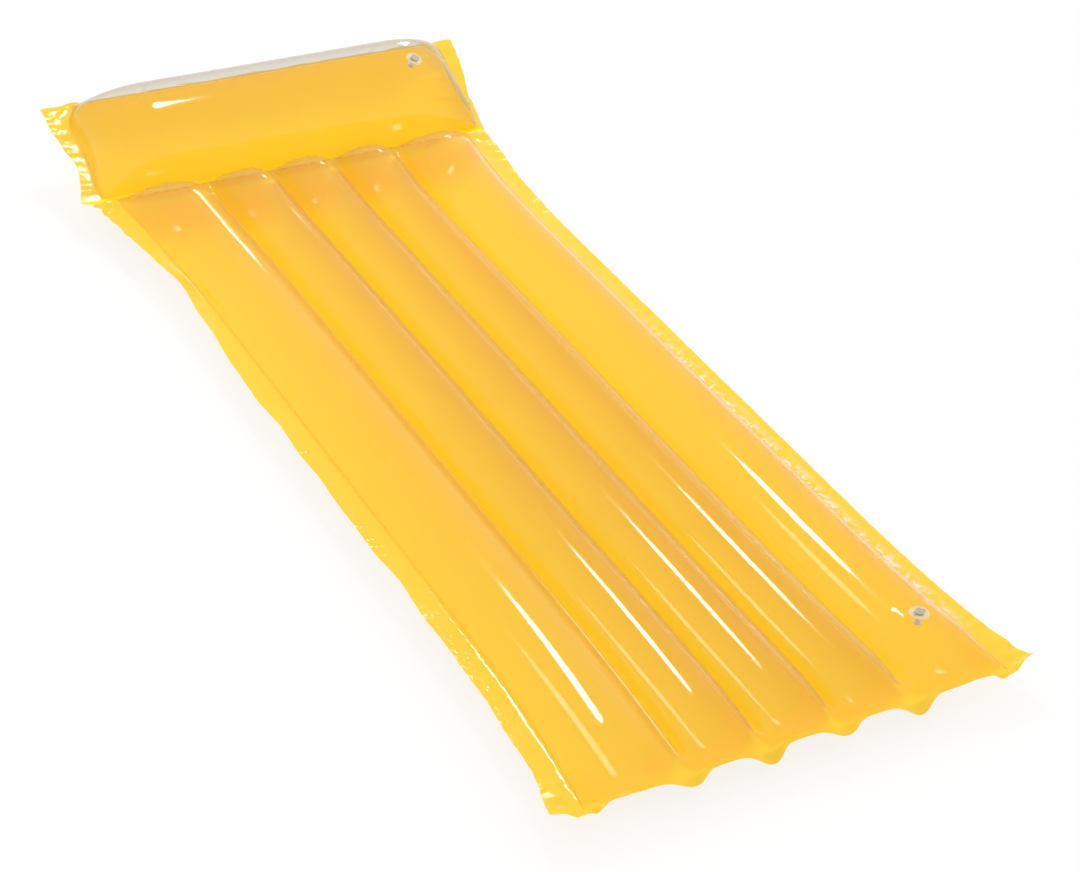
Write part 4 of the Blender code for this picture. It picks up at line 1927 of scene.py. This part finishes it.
@dataclass(frozen=True)
class FoldBand:
    """The welded band across the head, where the pillow folds.

    Attributes:
        body: The channels that it begins at.
        pillow: The pillow that it ends at.
        steps: Faces from one to the other.
        columns: Points across the mattress.
    """

    body: ChannelBody
    pillow: Pillow
    steps: int = 8
    columns: int = 160

    @property
    def half(self) -> float:
        """Half the band's length, from the fold to an air space's weld."""
        return self.body.cross_weld / 2

    @property
    def start(self) -> Vector:
        """Where it leaves the channels."""
        return Vector((0.0, self.body.hinge.y - self.half, self.body.hinge.z))

    @property
    def end(self) -> Vector:
        """Where it meets the pillow."""
        return self.pillow.place @ Vector((0.0, self.half, 0.0))

    def build(self, finish: bpy.types.Material) -> bpy.types.Object:
        """Make the band between the two air spaces' films.

        Args:
            finish: Its material.

        Returns:
            The finished piece.
        """
        body_x = self.body.corner_width / 2
        pillow_x = self.pillow.side + self.pillow.side_flange + self.pillow.corner
        across = np.linspace(-1, 1, self.columns)
        tuck = TuckedEdge(self.body.hinge.y)
        rows = []
        for t in np.linspace(0, 1, self.steps + 1).tolist():
            reach = self.half * (2 * t - 1)
            spot = self.pillow.place @ Vector((0.0, reach, 0.0))
            if reach <= 0:
                spot = self.body.hinge + Vector((0.0, reach, 0.0))
            x = (body_x + (pillow_x - body_x) * t) * across
            rows.append(tuck.draw(np.stack([x, 0 * x + spot.y, 0 * x + spot.z], axis=-1)))
        points = np.array(rows)
        flat = np.ones(points.shape[:2])
        grid = FilmGrid(points, flat > 0, flat, 0 * flat, 0 * flat)
        made = grid.to_object("fold_band", Layer.CLEAR)
        made.data.materials.append(finish)
        return made


@dataclass(frozen=True)
class Viewpoint:
    """Where the photograph was taken from.

    Attributes:
        focal_px: Focal length in pixels of the picture's width.
        azimuth: Degrees round the object from its foot.
        elevation: Degrees above the ground.
        roll: Degrees that the camera leans.
        distance: How far it is from the point on the ground that it looks at.
        aim: That point.
        picture: The picture's width in pixels.
        sensor_mm: Width of the camera's sensor.
    """

    focal_px: float = 2489.91
    azimuth: float = -31.5944
    elevation: float = 34.8824
    roll: float = 5.1554
    distance: float = 3.4800
    aim: Pair = (0.0393, -0.0968)
    picture: int = 1080
    sensor_mm: float = 36.0

    def place_camera(self) -> None:
        """Make the camera and use it for the scene."""
        a, e, r = map(math.radians, (self.azimuth, self.elevation, self.roll))
        back = Vector((math.sin(a) * math.cos(e), -math.cos(a) * math.cos(e), math.sin(e)))
        right = Vector((math.cos(a), math.sin(a), 0.0))
        up = back.cross(right)
        across = math.cos(r) * right + math.sin(r) * up
        upright = -math.sin(r) * right + math.cos(r) * up
        data = bpy.data.cameras.new("camera")
        data.sensor_width = self.sensor_mm
        data.lens = self.focal_px / self.picture * data.sensor_width
        turn = Matrix((across, upright, back)).transposed().to_quaternion()
        place = Vector((*self.aim, 0.0)) + back * self.distance
        made = placed("camera", data)
        made.matrix_world = Matrix.LocRotScale(place, turn, None)
        bpy.context.scene.camera = made


@dataclass(frozen=True)
class SoftLamp:
    """A soft lamp that points at the middle of the object.

    Attributes:
        name: The lamp's name.
        place: Where it is.
        watts: Its power.
        size: Its length and width.
    """

    name: str
    place: tuple[float, float, float]
    watts: float
    size: Pair

    def build(self) -> None:
        """Make the lamp."""
        data = bpy.data.lights.new(self.name, "AREA")
        data.energy = self.watts
        data.shape = "ELLIPSE"
        data.size, data.size_y = self.size
        made = placed(self.name, data)
        made.location = self.place
        made.rotation_mode = "QUATERNION"
        made.rotation_quaternion = Vector(self.place).to_track_quat("Z", "Y")


@dataclass(frozen=True)
class Studio:
    """A pale floor and plain soft light.

    Attributes:
        floor_size: The floor's side.
        paper: Colour that the floor lights the object with.
        shadow: Colour of what the floor shows of the light that falls on it.
        glow: How bright it looks without that light.
        lamps: The lamps.
        bright_side: Towards the brighter side of the room.
        turn: How far towards that side the room begins to brighten, and where it is brightest.
        dark_level: Strength of the room's light away from it.
        bright_level: Strength of its light towards it.
        mirror_level: Strength of what the film mirrors.
    """

    floor_size: float = 14.0
    paper: str = "f4f4f2"
    shadow: str = "6c6c6c"
    glow: float = 0.80
    lamps: tuple[SoftLamp, ...] = (
        SoftLamp("softbox", (0.25, 0.98, 1.95), 11.5, (0.40, 0.44)),
        SoftLamp("back_panel", (2.10, 3.90, 1.15), 8.5, (0.4, 0.6)),
    )
    bright_side: tuple[float, float, float] = (0.57, 0.82, 0.0)
    turn: Pair = (-0.2, 0.9)
    dark_level: float = 1.15
    bright_level: float = 1.60
    mirror_level: float = 0.95

    def build(self) -> None:
        """Make the floor, the lamps and the world."""
        self.floor()
        for lamp in self.lamps:
            lamp.build()
        self.world()

    def floor(self) -> None:
        """A plain pale floor that keeps the object's soft shadow."""
        # White backing paper: it looks white up to the object, and only the shadow greys it
        made = bpy.data.materials.new("floor_paper")
        tree = empty_tree(made)
        paper = add_node(tree, "ShaderNodeBsdfDiffuse", in_Color=linear(self.paper))
        shade = add_node(tree, "ShaderNodeBsdfDiffuse", in_Color=linear(self.shadow))
        glow = add_node(tree, "ShaderNodeEmission", in_Color=(1, 1, 1, 1), in_Strength=self.glow)
        seen = add_node(tree, "ShaderNodeAddShader", in_0=shade, in_1=glow)
        ray = add_node(tree, "ShaderNodeLightPath").outputs["Is Camera Ray"]
        both = add_node(tree, "ShaderNodeMixShader", in_0=ray, in_1=paper, in_2=seen)
        add_node(tree, "ShaderNodeOutputMaterial", in_Surface=both)
        mesh = bpy.data.meshes.new("floor")
        half = self.floor_size / 2
        corners = [(-half, -half, 0), (half, -half, 0), (half, half, 0), (-half, half, 0)]
        mesh.from_pydata(corners, [], [(0, 1, 2, 3)])
        mesh.materials.append(made)
        placed("floor", mesh)

    def world(self) -> None:
        """White for what is seen and mirrored, and a plain level of light from all round."""
        made = bpy.data.worlds.new("studio")
        tree = empty_tree(made)
        facing = add_node(
            tree,
            "ShaderNodeVectorMath",
            operation="DOT_PRODUCT",
            in_0=add_node(tree, "ShaderNodeTexCoord").outputs["Generated"],
            in_1=self.bright_side,
        ).outputs["Value"]
        begins, full = self.turn
        room = add_node(
            tree,
            "ShaderNodeMapRange",
            interpolation_type="SMOOTHSTEP",
            in_Value=facing,
            in_1=begins,
            in_2=full,
            in_3=self.dark_level,
            in_4=self.bright_level,
        )
        ray = add_node(tree, "ShaderNodeLightPath").outputs
        mirrored = add_node(
            tree,
            "ShaderNodeMapRange",
            in_Value=ray["Is Glossy Ray"],
            in_3=room,
            in_4=self.mirror_level,
        )
        level = add_node(
            tree, "ShaderNodeMapRange", in_Value=ray["Is Camera Ray"], in_3=mirrored, in_4=1.0
        )
        sky = add_node(tree, "ShaderNodeBackground", in_Color=(1, 1, 1, 1), in_Strength=level)
        add_node(tree, "ShaderNodeOutputWorld", in_Surface=sky)
        bpy.context.scene.world = made


# Seen edge-on, the channels' clear film has the warm light of the next channel painted into its
# colour, a painted reflection. Beside the weld at +X it parts from the yellow one, and the patches
# of air between them get a painted silvery reflection
CHANNEL_CLEAR = FilmFinish(
    "clear_pvc_film_calendered",
    tint="f4f3ef",
    edge_tint="fff2dc",
    body="ffe6cc",
    veil=0.030,
    edge_veil=0.16,
    glow=0.30,
    sheen=1.0,
    painted_light="f2f2ec",
    painted_light_veil=0.72,
    patchy=1.0,
)
# The pillow's has the white ground behind it, and looks grey edge-on
PILLOW_CLEAR = FilmFinish(
    "clear_pvc_film_grey_tone",
    tint="f2f1ee",
    edge_tint="cfcdc9",
    body="f6f4f0",
    veil=0.026,
    edge_veil=0.14,
    glow=0.20,
    sheen=1.0,
)
# The coloured film lets a little light through, which makes the whole mattress glow. Where it turns
# up to the end welds it gets painted shade, a deeper orange. The clear film above it does the
# mirroring
YELLOW = FilmFinish(
    "yellow_pvc_film_calendered",
    tint="ffd625",
    edge_tint="ffc21b",
    body="ffd40c",
    veil=0.85,
    edge_veil=0.96,
    glow=0.12,
    sheen=0.25,
    painted_light="fdbd0c",
    painted_light_veil=0.95,
)
# The valve's pieces, from the creamy base that the film tints to the greyer plug
MOULDINGS = {
    "base": VinylFinish("valve_base_soft_vinyl", "f6efdc", 0.30, 0.68),
    "stem": VinylFinish("valve_stem_soft_vinyl", "f2f0ea", 0.30, 0.93),
    "plug": VinylFinish("valve_plug_soft_vinyl", "b8b6a4", 0.32, 0.40),
    "flap": VinylFinish("valve_flap_soft_vinyl", "f2f0ea", 0.40, 0.93),
}


def main() -> None:
    """Build each sub-assembly, dress it and mount it on its body."""
    logging.basicConfig(level=logging.INFO, format="%(message)s")
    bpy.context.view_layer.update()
    bpy.context.scene.view_settings.view_transform = "Standard"
    Viewpoint().place_camera()
    Studio().build()
    yellow = YELLOW.build()
    vinyls = {word: finish.build() for word, finish in MOULDINGS.items()}
    body = ChannelBody()
    pillow = Pillow(body.hinge, body.weld_height, body.head_rise)
    spaces = ((body, CHANNEL_CLEAR.build()), (pillow, PILLOW_CLEAR.build()))
    for space, clear in spaces:
        films = {Layer.CLEAR: ("top", clear), Layer.COLOURED: ("bottom", yellow)}
        for layer, (word, film) in films.items():
            piece = space.build(layer, film)
            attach(piece, space.name)
            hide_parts(f"{space.name}_{word}_film")
            log.info("%s: %d faces", piece.name, len(piece.data.polygons))
    fold = FoldBand(body, pillow)
    band = fold.build(yellow)
    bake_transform(band)
    for space, _ in spaces:
        Valve(space.name, space.seat().place, vinyls).build()
        marks = WeldMarks().build(f"{space.name}_weld_marks", space.seams(), yellow)
        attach(marks, space.name)


if __name__ == "__main__":
    main()
